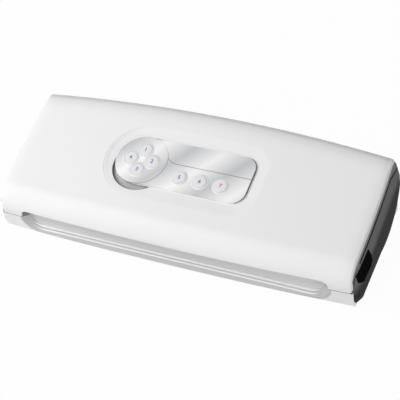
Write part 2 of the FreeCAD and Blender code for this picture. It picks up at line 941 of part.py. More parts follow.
def release_button_shape():
    back = float(release_inner)
    body = release_prism(0.0, back, float(housing_end + s.cheek_thickness + s.release_proud) + PAST)
    cheek = cheek_solid()
    cheek.translate(Vector(float(s.release_proud), 0, 0))
    skin = block((back, housing_end + s.release_proud), (release_front, release_back),
                 (s.release_low, release_high))
    body = body.common(cheek.fuse(skin))
    tail = block((release_inner - s.tail_thickness, release_inner), (tail_front, tail_back),
                 (tail_low, tail_high))
    return body.fuse(tail).removeSplitter()


# Base housing and bag guide

def base_section(x):
    """Outline across the base: front lip, sole, rear wall, hinge ledge and the two deck levels."""
    bow = bow_factor(x)
    front = float(front_end) - float(s.front_bow) * bow
    back = float(back_end) + float(s.back_bow) * bow
    low = float(s.foot_height)
    return section_wire(x, [
        (front + float(s.lip_top_inset), float(deck_underside)),
        (float(step_y), float(deck_underside)),
        (float(step_y), float(rear_underside)),
        (float(riser_y), float(rear_underside)),
        (float(riser_y), float(ledge_height)),
        (back - float(s.rear_wall_inset), float(ledge_height)),
        (back - float(s.rear_wall_taper), low + float(s.sole_rear_rise)),
        (back - float(s.sole_rear_inset), low),
        (front + float(s.sole_front_inset), low),
        (front + float(s.lip_inset), low + float(s.lip_rise)),
    ])


def scoop_solid(grow):
    """The hollow in front of the bag mouth: a sloping band and a deeper pocket behind it."""
    slant = math.tan(math.radians(float(s.scoop_slope)))
    start = -float(depth) / 2 - PAST
    middle = float(front_end) + float(s.scoop_inner_setback)
    end = float(front_end) + float(s.scoop_depth) + grow
    half = float(mouth_half) + grow
    lip = float(s.scoop_lip_height) - grow
    high = 2 * float(mouth_top)
    corner = float(s.scoop_corner)

    def outline(y):
        shift = (y - float(front_end)) * slant
        return front_outline(y, half - shift, lip + shift, high, corner)

    band = Part.makeLoft([outline(start), outline(middle)], True, True)
    pocket_block = Part.Face(outline(middle)).extrude(Vector(0, end - middle, 0))
    return band.fuse(pocket_block)


def base_form():
    """The base filled in."""
    form = Part.makeLoft([base_section(x) for x in stations()], True, False)
    keep = block((-housing_end, housing_end), (-depth, depth), (0, 2 * s.back_height))
    return form.common(keep)


def catch_rooms(shape_of_end):
    """The same hollow at both ends."""
    return [shape_of_end, shape_of_end.mirror(Vector(0, 0, 0), Vector(1, 0, 0))]


def base_housing_shape():
    form = base_form()
    wall = s.housing_wall
    inside = (-cavity_end, cavity_end)
    rooms = [
        block(inside, (cavity_front, step_y + PAST), (cavity_floor, deck_underside + PAST)),
        block(inside, (step_y + wall, riser_y - wall), (cavity_floor, rear_underside + PAST)),
        block(inside, (step_y, step_y + 2 * wall), (cavity_floor, deck_underside)),
        block((-cover_half + s.cover_rebate, cover_half - s.cover_rebate),
              (cover_front + s.cover_rebate, cover_back - s.cover_rebate), (0, cavity_floor + PAST)),
        block((-cover_half - s.screw_gap, cover_half + s.screw_gap),
              (cover_front - s.screw_gap, cover_back + s.screw_gap), (0, s.foot_height + s.cover_thickness)),
        scoop_solid(float(s.guide_wall)),
    ]
    gap = s.release_gap
    through = (cavity_end - PAST, housing_end + PAST)
    window = block(through, (release_front - gap, release_back + gap), (s.release_low - gap, release_high))
    tail = block(through, (tail_front - gap, tail_back + gap), (tail_low - gap, tail_high + PAST))
    gland_start = Vector(float(s.gland_x), float(riser_y - wall) - PAST, float(s.gland_height))
    gland = Part.makeCylinder(float(s.gland_radius), float(depth), gland_start, Vector(0, 1, 0))
    bores = [Part.makeCylinder(float(s.screw_radius + s.screw_gap), float(s.screw_length),
                               Vector(x, y, float(s.foot_height))) for x, y in cover_screw_places()]
    return form.cut(rooms + catch_rooms(window) + catch_rooms(tail) + [gland] + bores)


def bag_guide_shape():
    outer = scoop_solid(float(s.guide_wall)).common(base_form())
    guide = outer.cut(scoop_solid(0.0))
    slant = math.tan(math.radians(float(s.scoop_slope)))
    half = float(mouth_half - s.scoop_corner - s.scoop_inner_setback)
    for number in (0, 1):
        y = float(front_end + s.scoop_inner_setback - s.bead_inset) - number * float(s.bead_pitch)
        z = float(s.scoop_lip_height) + (y - float(front_end)) * slant
        bead = Part.makeCylinder(float(s.bead_radius), 2 * half, Vector(-half, y, z), Vector(1, 0, 0))
        guide = guide.fuse(bead)
    return guide


def cover_screw_places():
    """Places of the bottom cover's screws, in its rebate."""
    x_edge = float(cover_half - s.cover_rebate / 2)
    y_front = float(cover_front + s.cover_rebate / 2)
    y_back = float(cover_back - s.cover_rebate / 2)
    return [(x, y) for x in (-x_edge, 0.0, x_edge) for y in (y_front, y_back)]


node("lid_shell", coded("lid_shell", lid_shell_shape()))
right_trim = node("right_lid_trim", coded("right_lid_trim", trim_shape()))
node("left_lid_trim", mirrored("left_lid_trim", right_trim))
right_cheek = node("right_side_panel", coded("right_side_panel", side_panel_shape()))
node("left_side_panel", mirrored("left_side_panel", right_cheek))
right_release = node("right_release_button", coded("right_release_button", release_button_shape()))
node("left_release_button", mirrored("left_release_button", right_release))
node("base_housing", coded("base_housing", base_housing_shape()))
node("bag_guide", coded("bag_guide", bag_guide_shape()))


# Control panel, disc and push buttons

BUTTONS = [
    (s.disc_x, s.cluster_radius),
    (s.disc_x + s.cluster_radius, as_size(0)),
    (s.disc_x, -s.cluster_radius),
    (s.disc_x - s.cluster_radius, as_size(0)),
    (s.row_start, s.row_offset),
    (s.row_start + s.row_pitch, s.row_offset),
    (s.row_start + 2 * s.row_pitch, s.row_offset),
]
hole_radius = s.button_radius + s.running_gap
ring_radius = hole_radius + s.ring_width
VERTICAL = Vector(0, 0, 1)
GROOVE_ANGLES = (200, 270)  # degrees, where the groove turns up to the disc


def add_rings_and_holes(body, places, floor, top):
    """A raised ring and a through hole for each button."""
    def rings(sketch):
        for place in places:
            draw_circle(sketch, place, ring_radius)

    def holes(sketch):
        for place in places:
            draw_circle(sketch, place, hole_radius)

    pad(body, body.Name + "_rings", "XY_Plane", (top, top + s.ring_rise), rings)
    pocket(body, body.Name + "_holes", "XY_Plane", (floor, top + s.ring_rise), holes)


def make_control_panel():
    body = new_body("control_panel")
    floor = -s.panel_thickness
    zero = as_size(0)
    plate = pad(body, "panel_plate", "XY_Plane", (floor, zero), lambda sketch: draw_polygon(
        sketch, rectangle((s.disc_x, s.panel_right), (-s.panel_half_width, s.panel_half_width))))
    upright = runs_along(VERTICAL)
    right = float(s.panel_right)
    round_edges(body, "panel_corners", plate,
                lambda edge: upright(edge) and edge.CenterOfMass.x > right - 1, s.panel_corner)
    pocket(body, "panel_disc_room", "XY_Plane", (floor, zero), lambda sketch: draw_circle(
        sketch, (s.disc_x, zero), s.disc_radius + s.screw_gap))
    add_rings_and_holes(body, BUTTONS[4:], floor, zero)
    groove_span = (-s.groove_depth, zero)
    low, high = s.groove_height - s.groove_width / 2, s.groove_height + s.groove_width / 2
    turn_x = s.disc_x + s.groove_start
    pocket(body, "panel_groove", "XY_Plane", groove_span, lambda sketch: draw_polygon(
        sketch, rectangle((turn_x, s.panel_right + PAST), (low, high))))
    pocket(body, "panel_groove_turn", "XY_Plane", groove_span, lambda sketch: draw_sector(
        sketch, (turn_x, s.groove_height + s.groove_turn), s.groove_turn - s.groove_width / 2,
        s.groove_turn + s.groove_width / 2, GROOVE_ANGLES))
    body.Placement = panel_frame
    return body


def make_selector_disc():
    body = new_body("selector_disc")
    floor = -s.panel_thickness
    pad(body, "disc_plate", "XY_Plane", (floor, s.disc_rise), lambda sketch: draw_circle(
        sketch, (s.disc_x, as_size(0)), s.disc_radius))
    add_rings_and_holes(body, BUTTONS[:4], floor, s.disc_rise)
    body.Placement = panel_frame
    return body


def make_button(number, place):
    """A push button: a domed cap on a flange that stops under the panel."""
    body = new_body(f"push_button_{number}")
    sketch = sketch_on(body, f"button_{number}_sketch", "XZ_Plane", as_size(0))
    zero = as_size(0)
    flange_top = -s.panel_thickness - s.button_gap
    flange_low = flange_top - s.button_flange_height
    rise = s.disc_rise + s.ring_rise
    wide = s.button_radius + s.button_flange
    draw_polygon(sketch, [
        (zero, flange_low),
        (wide, flange_low),
        (wide, flange_top),
        (s.button_radius, flange_top),
        (s.button_radius, rise),
        (s.button_radius - s.button_edge, rise + s.button_crown * 3 / 4),
        (s.button_radius / 2, rise + s.button_crown),
        (zero, rise + s.button_crown),
    ])
    turned = body.newObject("PartDesign::Revolution", f"button_{number}_turned")
    turned.Profile = sketch
    turned.ReferenceAxis = (sketch, ["V_Axis"])
    turned.Angle = 360
    body.Placement = panel_frame.multiply(Placement(Vector(float(place[0]), float(place[1]), 0), Rotation()))
    return body


node("control_panel", make_control_panel())
node("selector_disc", make_selector_disc())
for number, place in enumerate(BUTTONS, start=1):
    node(f"push_button_{number}", make_button(number, place))


def make_control_board():
    """The key board under the panel, with one key switch below each button."""
    top = -s.seat_depth
    reach = s.panel_half_width - s.board_margin
    pieces = [box("board_plate", (s.disc_x - reach, s.panel_right - s.board_margin), (-reach, reach),
                  (top - s.board_thickness, top))]
    half = s.switch_size / 2
    for number, (u, v) in enumerate(BUTTONS, start=1):
        pieces.append(box(f"key_switch_{number}", (u - half, u + half), (v - half, v + half),
                          (top, top + s.switch_height)))
    board = fuse("control_board", pieces)
    board.Placement = panel_frame
    return board


node("control_board", make_control_board())


# Lid underside

def make_inner_panel():
    body = new_body("lid_inner_panel")
    half = inner_panel_half
    front = front_end + s.inner_front_setback
    wall = s.inner_panel_wall
    riser = lid_riser_y
    floor = panel_floor
    rear = rear_panel_height
    pad(body, "inner_panel_sheet", "YZ_Plane", (-half, half), lambda sketch: draw_polygon(sketch, [
        (front, floor), (riser, floor), (riser, rear), (rear_panel_end, rear), (rear_panel_end, rear + wall),
        (riser - wall, rear + wall), (riser - wall, floor + wall), (front, floor + wall)]))

    def bores(sketch):
        for x in (-boss_x, boss_x):
            for y in (boss_front_y, boss_rear_y):
                draw_circle(sketch, (x, y), s.screw_radius + s.screw_gap)

    pocket(body, "inner_panel_bores", "XY_Plane", (floor - PAST, rear + wall + PAST), bores)
    return body


node("lid_inner_panel", make_inner_panel())


def make_gasket(name, low, high):
    """A rubber ring round the vacuum channel."""
    body = new_body(name)
    inner_x = channel_half + s.gasket_margin
    inner_y = s.channel_half_width + s.gasket_margin
    wide = s.gasket_width

    def ring(sketch):
        for grow in (wide, as_size(0)):
            draw_polygon(sketch, rectangle((-inner_x - grow, inner_x + grow),
                                           (channel_y - inner_y - grow, channel_y + inner_y + grow)))

    band = pad(body, name + "_band", "XY_Plane", (low, high), ring)
    round_edges(body, name + "_corners", band, runs_along(VERTICAL), s.gasket_corner)
    return body


gasket_top = deck_top + s.gasket_height
node("lower_gasket", make_gasket("lower_gasket", deck_top, gasket_top))
node("upper_gasket", make_gasket("upper_gasket", gasket_top + s.gasket_gap, panel_floor))

bar_top = deck_top + s.seal_bar_height
heater_top = bar_top + s.heater_thickness
tape_top = heater_top + s.tape_thickness


def seal_layer(name, half_shorter, wide, low, high):
    """One straight layer of the seal bar, along the sealer."""
    half = seal_half - half_shorter
    return node(name, box(name, (-half, half), (seal_y - wide / 2, seal_y + wide / 2), (low, high)))


seal_layer("seal_bar", 0, s.seal_bar_width, deck_top, bar_top)
seal_layer("heating_strip", s.heater_inset, s.heater_width, bar_top, heater_top)
seal_layer("release_tape", s.tape_inset, s.tape_width, heater_top, tape_top)
seal_layer("pressure_strip", 0, s.strip_width, tape_top + s.strip_gap, panel_floor)


def make_hook(name):
    """A post under the lid that passes through a slot in the deck, with a notch for the catch."""
    post = box(name + "_post", (hook_x, hook_x + s.hook_width), (hook_y, hook_y + s.hook_depth),
               (hook_low, panel_floor))
    notch = box(name + "_notch", (hook_x - PAST, hook_x + s.hook_width / 2),
                (hook_y - PAST, hook_y + s.hook_depth + PAST), (hook_low + s.hook_toe, nose_top + PAST))
    return cut(name, post, [notch])


node("latch_hooks", both_ends("latch_hooks", make_hook))


def make_hinge_arm(name):
    """A lid arm: a tab on the inner panel that reaches back to a knuckle on the hinge pin."""
    xs = (s.hinge_x - s.arm_width / 2, s.hinge_x + s.arm_width / 2)
    tab_low = rear_panel_height + s.inner_panel_wall
    tab = box(name + "_tab", xs, (hinge_y - s.arm_reach, hinge_y + s.knuckle_radius),
              (tab_low, tab_low + s.arm_thickness))
    web = box(name + "_web", xs, (hinge_y - s.knuckle_radius, hinge_y + s.knuckle_radius),
              (hinge_height, tab_low + PAST))
    knuckle = cylinder(name + "_knuckle", (xs[0], hinge_y, hinge_height), s.knuckle_radius, s.arm_width, "X")
    bore = cylinder(name + "_bore", (xs[0] - PAST, hinge_y, hinge_height), s.pin_radius + s.pin_gap,
                    s.arm_width + 2 * PAST, "X")
    return cut(name, fuse(name + "_solid", [tab, web, knuckle]), [bore])


node("lid_hinge_arms", both_ends("lid_hinge_arms", make_hinge_arm))


def screws(name, places, low, length):
    """A group of screws, heads down."""
    pieces = []
    for number, (x, y) in enumerate(places):
        shank = cylinder(f"{name}_shank_{number}", (x, y, low), s.screw_radius, length)
        head = cylinder(f"{name}_head_{number}", (x, y, low - s.screw_head_height), s.screw_head_radius,
                        s.screw_head_height)
        pieces.append(fuse(f"{name}_{number}", [shank, head]))
    return pieces


shank_length = s.screw_length - s.screw_tip_gap
lid_screw_front = [(x, boss_front_y) for x in (-boss_x, boss_x)]
lid_screw_rear = [(x, boss_rear_y) for x in (-boss_x, boss_x)]
node("lid_screws", fuse("lid_screws",
                        screws("lid_front_screw", lid_screw_front, panel_floor, shank_length)
                        + screws("lid_rear_screw", lid_screw_rear, rear_panel_height, shank_length)))


# Base deck with the vacuum channel

def make_deck():
    body = new_body("base_deck")
    half = housing_end - s.deck_inset
    thick = s.deck_thickness
    pad(body, "deck_sheet", "YZ_Plane", (-half, half), lambda sketch: draw_polygon(sketch, [
        (deck_front, deck_underside), (step_y, deck_underside), (step_y, rear_underside),
        (riser_y, rear_underside), (riser_y, s.rear_deck_height), (step_y - thick, s.rear_deck_height),
        (step_y - thick, deck_top), (deck_front, deck_top)]))
    reach_x = channel_half
    reach_y = s.channel_half_width
    wall = s.channel_wall
    floor = deck_top - s.channel_depth

    def channel_outline(grow):
        return rectangle((-reach_x - grow, reach_x + grow),
                         (channel_y - reach_y - grow, channel_y + reach_y + grow))

    pad(body, "channel_block", "XY_Plane", (floor - wall, deck_underside),
        lambda sketch: draw_polygon(sketch, channel_outline(wall)))
    pocket(body, "channel_hollow", "XY_Plane", (floor, deck_top),
           lambda sketch: draw_polygon(sketch, channel_outline(as_size(0))))
    margin = s.slot_margin

    def slots(sketch):
        for side in (-1, 1):
            middle = side * (hook_x + s.hook_width / 2)
            wide = s.hook_width / 2 + margin
            draw_polygon(sketch, rectangle((middle - wide, middle + wide),
                                           (hook_y - s.slot_swing, hook_y + s.hook_depth + margin)))

    def notches(sketch):
        gap = s.release_gap
        deep = s.release_stroke + s.running_gap
        for low, high in ((-half, deep - half), (half - deep, half)):
            draw_polygon(sketch, rectangle((low, high), (release_front - gap, release_back + gap)))

    pocket(body, "hook_slots", "XY_Plane", (deck_underside, deck_top), slots)
    pocket(body, "release_notches", "XY_Plane", (deck_underside, deck_top), notches)
    return body


node("base_deck", make_deck())


def make_drip_tray():
    """A tray that lifts out of the vacuum channel."""
    gap = s.running_gap
    wall = s.tray_wall
    low = deck_top - s.channel_depth
    reach_x = channel_half - gap
    reach_y = s.channel_half_width - gap
    outer = box("tray_outer", (-reach_x, reach_x), (channel_y - reach_y, channel_y + reach_y),
                (low, low + s.tray_depth))
    inner = box("tray_inner", (wall - reach_x, reach_x - wall),
                (channel_y - reach_y + wall, channel_y + reach_y - wall),
                (low + wall, low + s.tray_depth + PAST))
    return cut("drip_tray", outer, [inner])


node("drip_tray", make_drip_tray())


# Hinge brackets and pins

def make_bracket_pair(name):
    """Two base knuckles, one on each side of the lid's arm."""
    pieces = []
    near = s.arm_width / 2 + s.arm_gap
    for number, start in enumerate((s.hinge_x - near - s.bracket_width, s.hinge_x + near)):
        xs = (start, start + s.bracket_width)
        part = f"{name}_{number}"
        tab = box(part + "_tab", xs, (riser_y - s.bracket_tab_length, riser_y),
                  (s.rear_deck_height, s.rear_deck_height + s.bracket_tab_height))
        link_top = hinge_height + s.knuckle_radius - s.bracket_overlap / 2
        link = box(part + "_link", xs, (riser_y, hinge_y), (s.rear_deck_height - s.bracket_overlap, link_top))
        knuckle = cylinder(part + "_knuckle", (start, hinge_y, hinge_height), s.knuckle_radius,
                           s.bracket_width, "X")
        bore = cylinder(part + "_bore", (start - PAST, hinge_y, hinge_height), s.pin_radius + s.pin_gap,
                        s.bracket_width + 2 * PAST, "X")
        pieces.append(cut(part, fuse(part + "_solid", [tab, link, knuckle]), [bore]))
    return fuse(name, pieces)


node("base_hinge_brackets", both_ends("base_hinge_brackets", make_bracket_pair))


def make_pin(name):
    reach = s.arm_width / 2 + s.arm_gap + s.bracket_width
    return cylinder(name, (s.hinge_x - reach, hinge_y, hinge_height), s.pin_radius, 2 * reach, "X")


node("hinge_pins", both_ends("hinge_pins", make_pin))


# Bottom cover, feet and screws

def make_cover():
    """The bottom cover, with two groups of vent slots."""
    body = new_body("bottom_cover")
    span = (s.foot_height, s.foot_height + s.cover_thickness)
    pad(body, "cover_plate", "XY_Plane", span, lambda sketch: draw_polygon(
        sketch, rectangle((-cover_half, cover_half), (cover_front, cover_back))))

    def bores(sketch):
        for x in (s.cover_rebate / 2 - cover_half, as_size(0), cover_half - s.cover_rebate / 2):
            for y in (cover_front + s.cover_rebate / 2, cover_back - s.cover_rebate / 2):
                draw_circle(sketch, (x, y), s.screw_radius + s.screw_gap)

    def vents(sketch):
        for x in (-s.vent_x, s.vent_x):
            for number in range(-2, 3):
                y = number * s.vent_pitch
                draw_polygon(sketch, rectangle((x - s.vent_length / 2, x + s.vent_length / 2),
                                               (y - s.vent_width / 2, y + s.vent_width / 2)))

    pocket(body, "cover_bores", "XY_Plane", span, bores)
    pocket(body, "cover_vents", "XY_Plane", span, vents)
    return body


node("bottom_cover", make_cover())


def make_feet():
    """Four rubber feet under the cover, narrower at the floor."""
    feet = []
    xs = (s.foot_end_inset - cover_half, cover_half - s.foot_end_inset)
    ys = (cover_front + s.foot_side_inset, cover_back - s.foot_side_inset)
    for number, (x, y) in enumerate((x, y) for x in xs for y in ys):
        foot = doc.addObject("Part::Cone", f"foot_{number}")
        bind(foot, Radius1=s.foot_radius - s.foot_taper, Radius2=s.foot_radius, Height=s.foot_height)
        bind(foot, Placement_at_Base_at_x=x, Placement_at_Base_at_y=y)
        feet.append(foot)
    return fuse("rubber_feet", feet)


node("rubber_feet", make_feet())


# Catch slides

def make_slide(name):
    """A bar from the release button that passes under the hook and turns up into a nose."""
    back = release_inner - s.tail_thickness
    tip = hook_x - s.running_gap
    ys = (hook_y + s.slide_side_gap, hook_y + s.hook_depth - s.slide_side_gap)
    zs = (slide_top - s.slide_height, slide_top)
    bar = box(name + "_bar", (tip - s.nose_length, back), ys, zs)
    nose = box(name + "_nose", (tip - s.nose_length, tip), ys, (tail_low, nose_top))
    foot = box(name + "_foot", (back - s.slide_foot, back), (tail_front, ys[1]), zs)
    return fuse(name, [bar, nose, foot])


right_slide = node("right_latch_slide", make_slide("right_latch_slide"))
node("left_latch_slide", mirrored("left_latch_slide", right_slide))


# Pump, power supply and switch

def make_motor():
    can = cylinder("motor_can", (s.motor_x, works_y, works_axis), s.motor_radius, s.motor_length, "X")
    boss = cylinder("motor_boss", (s.motor_x - s.motor_boss_length, works_y, works_axis), s.motor_radius / 3,
                    s.motor_boss_length + PAST, "X")
    half = s.terminal_width / 2
    low = works_axis + s.terminal_rise
    terminal = box("motor_terminal", (s.motor_x - s.terminal_length, s.motor_x + PAST),
                   (works_y - half, works_y + half), (low, low + s.terminal_height))
    return fuse("pump_motor", [can, boss, terminal])


node("pump_motor", make_motor())
pump_start = s.motor_x + s.motor_length
pump_end = pump_start + s.pump_length


def make_pump():
    half = s.pump_width / 2
    top = works_axis + s.pump_rise
    body = box("pump_body", (pump_start, pump_end), (works_y - half, works_y + half), (works_floor, top))
    dome = cylinder("pump_dome", (pump_start + s.pump_length / 2, works_y, top - PAST), s.pump_dome_radius,
                    s.pump_dome_height + PAST)
    nozzle = cylinder("pump_nozzle", (pump_end - PAST, works_y, hose_height), s.hose_bore - s.pin_gap,
                      s.nozzle_length + PAST, "X")
    return fuse("pump_head", [body, dome, nozzle])


node("pump_head", make_pump())


def make_cradle():
    """A saddle on the bottom cover under the motor."""
    middle = s.motor_x + s.motor_length / 2
    saddle = box("cradle_block", (middle - s.cradle_length / 2, middle + s.cradle_length / 2),
                 (works_y - s.cradle_width / 2, works_y + s.cradle_width / 2),
                 (works_floor, works_axis - s.cradle_drop))
    room = cylinder("cradle_room", (s.motor_x - PAST, works_y, works_axis), s.motor_radius + s.pin_gap,
                    s.motor_length + 2 * PAST, "X")
    return cut("pump_cradle", saddle, [room])


node("pump_cradle", make_cradle())


def make_hose():
    """The hose from the pump's nozzle: a run, a quarter bend and a run to the channel."""
    bend_x = pump_end + s.hose_run
    end_y = channel_y + s.channel_half_width + s.channel_wall

    def first(name, radius):
        return cylinder(name, (pump_end, works_y, hose_height), radius, s.hose_run, "X")

    def turn(name, radius):
        item = doc.addObject("Part::Torus", name)
        item.Angle3 = 90
        bind(item, Radius1=s.hose_bend, Radius2=radius, Placement_at_Base_at_x=bend_x,
             Placement_at_Base_at_y=works_y - s.hose_bend, Placement_at_Base_at_z=hose_height)
        return item

    def second(name, radius):
        start = (bend_x + s.hose_bend, end_y, hose_height)
        return cylinder(name, start, radius, works_y - s.hose_bend - end_y, "Y")

    runs = []
    for run in (first, turn, second):
        name = f"hose_{run.__name__}"
        runs.append(cut(name, run(name + "_skin", s.hose_radius), [run(name + "_hollow", s.hose_bore)]))
    return fuse("vacuum_hose", runs)


node("vacuum_hose", make_hose())


def make_transformer():
    """A laminated core with its winding."""
    half_l = s.transformer_length / 2
    half_w = s.transformer_width / 2
    core = box("transformer_core", (s.transformer_x - half_l, s.transformer_x + half_l),
               (works_y - half_w + s.coil_overhang, works_y + half_w - s.coil_overhang),
               (works_floor, works_floor + s.transformer_height))
    coil = box("transformer_coil", (s.transformer_x - s.coil_length / 2, s.transformer_x + s.coil_length / 2),
               (works_y - half_w, works_y + half_w),
               (works_floor + s.coil_step, works_floor + s.transformer_height - s.coil_step))
    return fuse("transformer", [core, coil])


node("transformer", make_transformer())


def make_power_board():
    """The power board on four short posts, with its larger parts."""
    start = s.cover_rebate + s.power_board_inset - cover_half
    xs = (start, start + s.power_board_length)
    ys = (works_y - s.power_board_width / 2, works_y + s.power_board_width / 2)
    low = works_floor + s.power_board_height
    top = low + s.board_thickness
    pieces = [box("power_plate", xs, ys, (low, top))]
    inset = s.power_post_inset
    for x_number, x in enumerate((xs[0] + inset, xs[1] - inset)):
        for y_number, y in enumerate((ys[0] + inset, ys[1] - inset)):
            post = f"power_post_{x_number}{y_number}"
            pieces.append(cylinder(post, (x, y, works_floor), s.power_post_radius, s.power_board_height))
    relay = (xs[0] + s.relay_inset, ys[0] + s.relay_side_inset)
    pieces.append(box("power_relay", (relay[0], relay[0] + s.relay_length),
                      (relay[1], relay[1] + s.relay_width), (top, top + s.relay_height)))
    capacitor = (xs[1] - s.capacitor_inset, ys[1] - s.capacitor_side_inset, top)
    pieces.append(cylinder("power_capacitor", capacitor, s.capacitor_radius, s.capacitor_height))
    return fuse("power_board", pieces)


node("power_board", make_power_board())


def make_lid_switch():
    """The switch under the deck that feels the closed lid."""
    half = s.lid_switch_length / 2
    back = channel_y - s.channel_half_width - s.channel_wall - s.lid_switch_gap
    low = deck_underside - s.lid_switch_height
    body = box("switch_body", (s.lid_switch_x - half, s.lid_switch_x + half),
               (back - s.lid_switch_width, back), (low, deck_underside))
    start = (s.lid_switch_x - half + s.switch_tab_inset, back - s.switch_tab_inset - s.switch_tab_width)
    tab = box("switch_tab", (start[0], start[0] + s.switch_tab_length),
              (start[1], start[1] + s.switch_tab_width), (low - s.switch_tab_width, low))
    return fuse("lid_switch", [body, tab])


node("lid_switch", make_lid_switch())


def make_gland():
    """The bush where the supply cord would enter the rear wall."""
    start = riser_y - s.housing_wall
    bow = 1 - (s.gland_x / half_length) * (s.gland_x / half_length)
    end = back_end + s.back_bow * bow + s.gland_proud
    barrel = cylinder("gland_barrel", (s.gland_x, start, s.gland_height), s.gland_radius - s.screw_gap,
                      end - start, "Y")
    flange = cylinder("gland_flange", (s.gland_x, start - s.gland_flange_length, s.gland_height),
                      s.gland_radius + s.gland_flange, s.gland_flange_length, "Y")
    bore_start = start - s.gland_flange_length - PAST
    bore = cylinder("gland_bore", (s.gland_x, bore_start, s.gland_height), s.gland_bore,
                    end - bore_start + PAST, "Y")
    return cut("cord_bush", fuse("gland_solid", [barrel, flange]), [bore])


node("cord_bush", make_gland())

cover_places = [(as_size(x), as_size(y)) for x, y in cover_screw_places()]
node("cover_screws", fuse("cover_screws", screws("cover_screw", cover_places, s.foot_height, shank_length)))

# Check every object, then write one file per sub-part

doc.recompute()
for item in doc.Objects:
    if "Invalid" in item.State or "Error" in item.State:
        raise RuntimeError(f"{item.Name} failed: {item.State}")
os.makedirs("parts", exist_ok=True)
for name, item in NODES.items():
    shape = item.Shape
    if shape.isNull() or not shape.isValid():
        raise RuntimeError(f"{name} has no valid shape")
    if not re.fullmatch(r"[a-z0-9_]+", name):
        raise RuntimeError(f"{name} is not a plain name")
for name, item in NODES.items():
    item.Shape.exportStep(f"parts/{name}.step")
print(len(NODES), "parts")
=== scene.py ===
"""Looks of a household vacuum sealer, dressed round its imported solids: metres, +Z up, front towards -Y."""

import json
import math

import bmesh
import bpy
from mathutils import Matrix, Vector


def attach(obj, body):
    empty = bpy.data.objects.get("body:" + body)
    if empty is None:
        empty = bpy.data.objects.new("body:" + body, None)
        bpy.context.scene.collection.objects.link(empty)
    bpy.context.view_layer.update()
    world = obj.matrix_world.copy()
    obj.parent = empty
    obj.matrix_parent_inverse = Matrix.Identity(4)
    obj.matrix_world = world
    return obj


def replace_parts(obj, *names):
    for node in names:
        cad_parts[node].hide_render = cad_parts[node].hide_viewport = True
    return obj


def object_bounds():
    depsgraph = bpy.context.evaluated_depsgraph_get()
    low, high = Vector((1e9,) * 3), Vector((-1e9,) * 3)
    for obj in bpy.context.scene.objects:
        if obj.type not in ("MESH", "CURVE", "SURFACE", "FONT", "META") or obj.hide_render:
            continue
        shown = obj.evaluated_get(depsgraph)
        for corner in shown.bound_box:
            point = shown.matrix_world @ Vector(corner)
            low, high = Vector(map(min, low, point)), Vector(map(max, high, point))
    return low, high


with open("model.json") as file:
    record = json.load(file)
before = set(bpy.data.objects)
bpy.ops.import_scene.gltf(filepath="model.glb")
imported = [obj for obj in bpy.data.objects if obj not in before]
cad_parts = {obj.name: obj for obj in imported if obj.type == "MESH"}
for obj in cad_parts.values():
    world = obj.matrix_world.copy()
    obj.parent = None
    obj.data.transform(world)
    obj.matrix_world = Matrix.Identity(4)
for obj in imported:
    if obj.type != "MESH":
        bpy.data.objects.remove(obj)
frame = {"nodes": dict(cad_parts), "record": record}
CAD_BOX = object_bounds()

MM = 0.001
scene = bpy.context.scene

# Camera

AZIMUTH = math.radians(33.40)
ELEVATION = math.radians(45.85)
ROLL = math.radians(-13.08)
DISTANCE = 1.201
TARGET = Vector((7.7, -4.75, 29.2)) * MM
FOCAL_PIXELS = 1255.0
IMAGE_PIXELS = 400.0
SENSOR_WIDTH = 36.0


def add_camera():
    back = Vector((math.sin(AZIMUTH) * math.cos(ELEVATION),
                   -math.cos(AZIMUTH) * math.cos(ELEVATION), math.sin(ELEVATION)))
    right = Vector((math.cos(AZIMUTH), math.sin(AZIMUTH), 0))
    up = back.cross(right)
    across = math.cos(ROLL) * right + math.sin(ROLL) * up
    upward = math.cos(ROLL) * up - math.sin(ROLL) * right
    turn = Matrix((across, upward, back)).transposed().to_4x4()
    data = bpy.data.cameras.new("camera")
    data.sensor_width = SENSOR_WIDTH
    data.lens = FOCAL_PIXELS / IMAGE_PIXELS * SENSOR_WIDTH
    camera = bpy.data.objects.new("camera", data)
    camera.matrix_world = Matrix.Translation(TARGET + back * DISTANCE) @ turn
    scene.collection.objects.link(camera)
    scene.camera = camera


# Floor, world and lamps

WORLD_SIDE = (-0.60, -0.55, 0.58)
WORLD_FAR = 0.0
WORLD_NEAR = 0.66
FLOOR_SIZE = 8.0
FLOOR_DROP = 0.0002
FLOOR_COLOUR = 0.75
FLOOR_GLOW = 0.97

LAMPS = (
    # name, place, aim, size, watts
    ("key", (-0.70, -0.45, 1.05), (-0.05, 0, 0.04), (0.9, 0.9), 10.1),
    ("front", (-0.35, -1.3, 0.2), (0, 0, 0.03), (1.2, 0.3), 0.9),
    ("side", (1.1, -0.5, 0.2), (0.18, 0, 0.03), (0.5, 0.5), 2.0),
)


def seen_directly(tree):
    """1 for camera, glossy and transmission rays, else 0."""
    path = tree.nodes.new("ShaderNodeLightPath")
    first = tree.nodes.new("ShaderNodeMath")
    first.operation = "MAXIMUM"
    tree.links.new(path.outputs["Is Camera Ray"], first.inputs[0])
    tree.links.new(path.outputs["Is Glossy Ray"], first.inputs[1])
    second = tree.nodes.new("ShaderNodeMath")
    second.operation = "MAXIMUM"
    tree.links.new(first.outputs[0], second.inputs[0])
    tree.links.new(path.outputs["Is Transmission Ray"], second.inputs[1])
    return second.outputs[0]


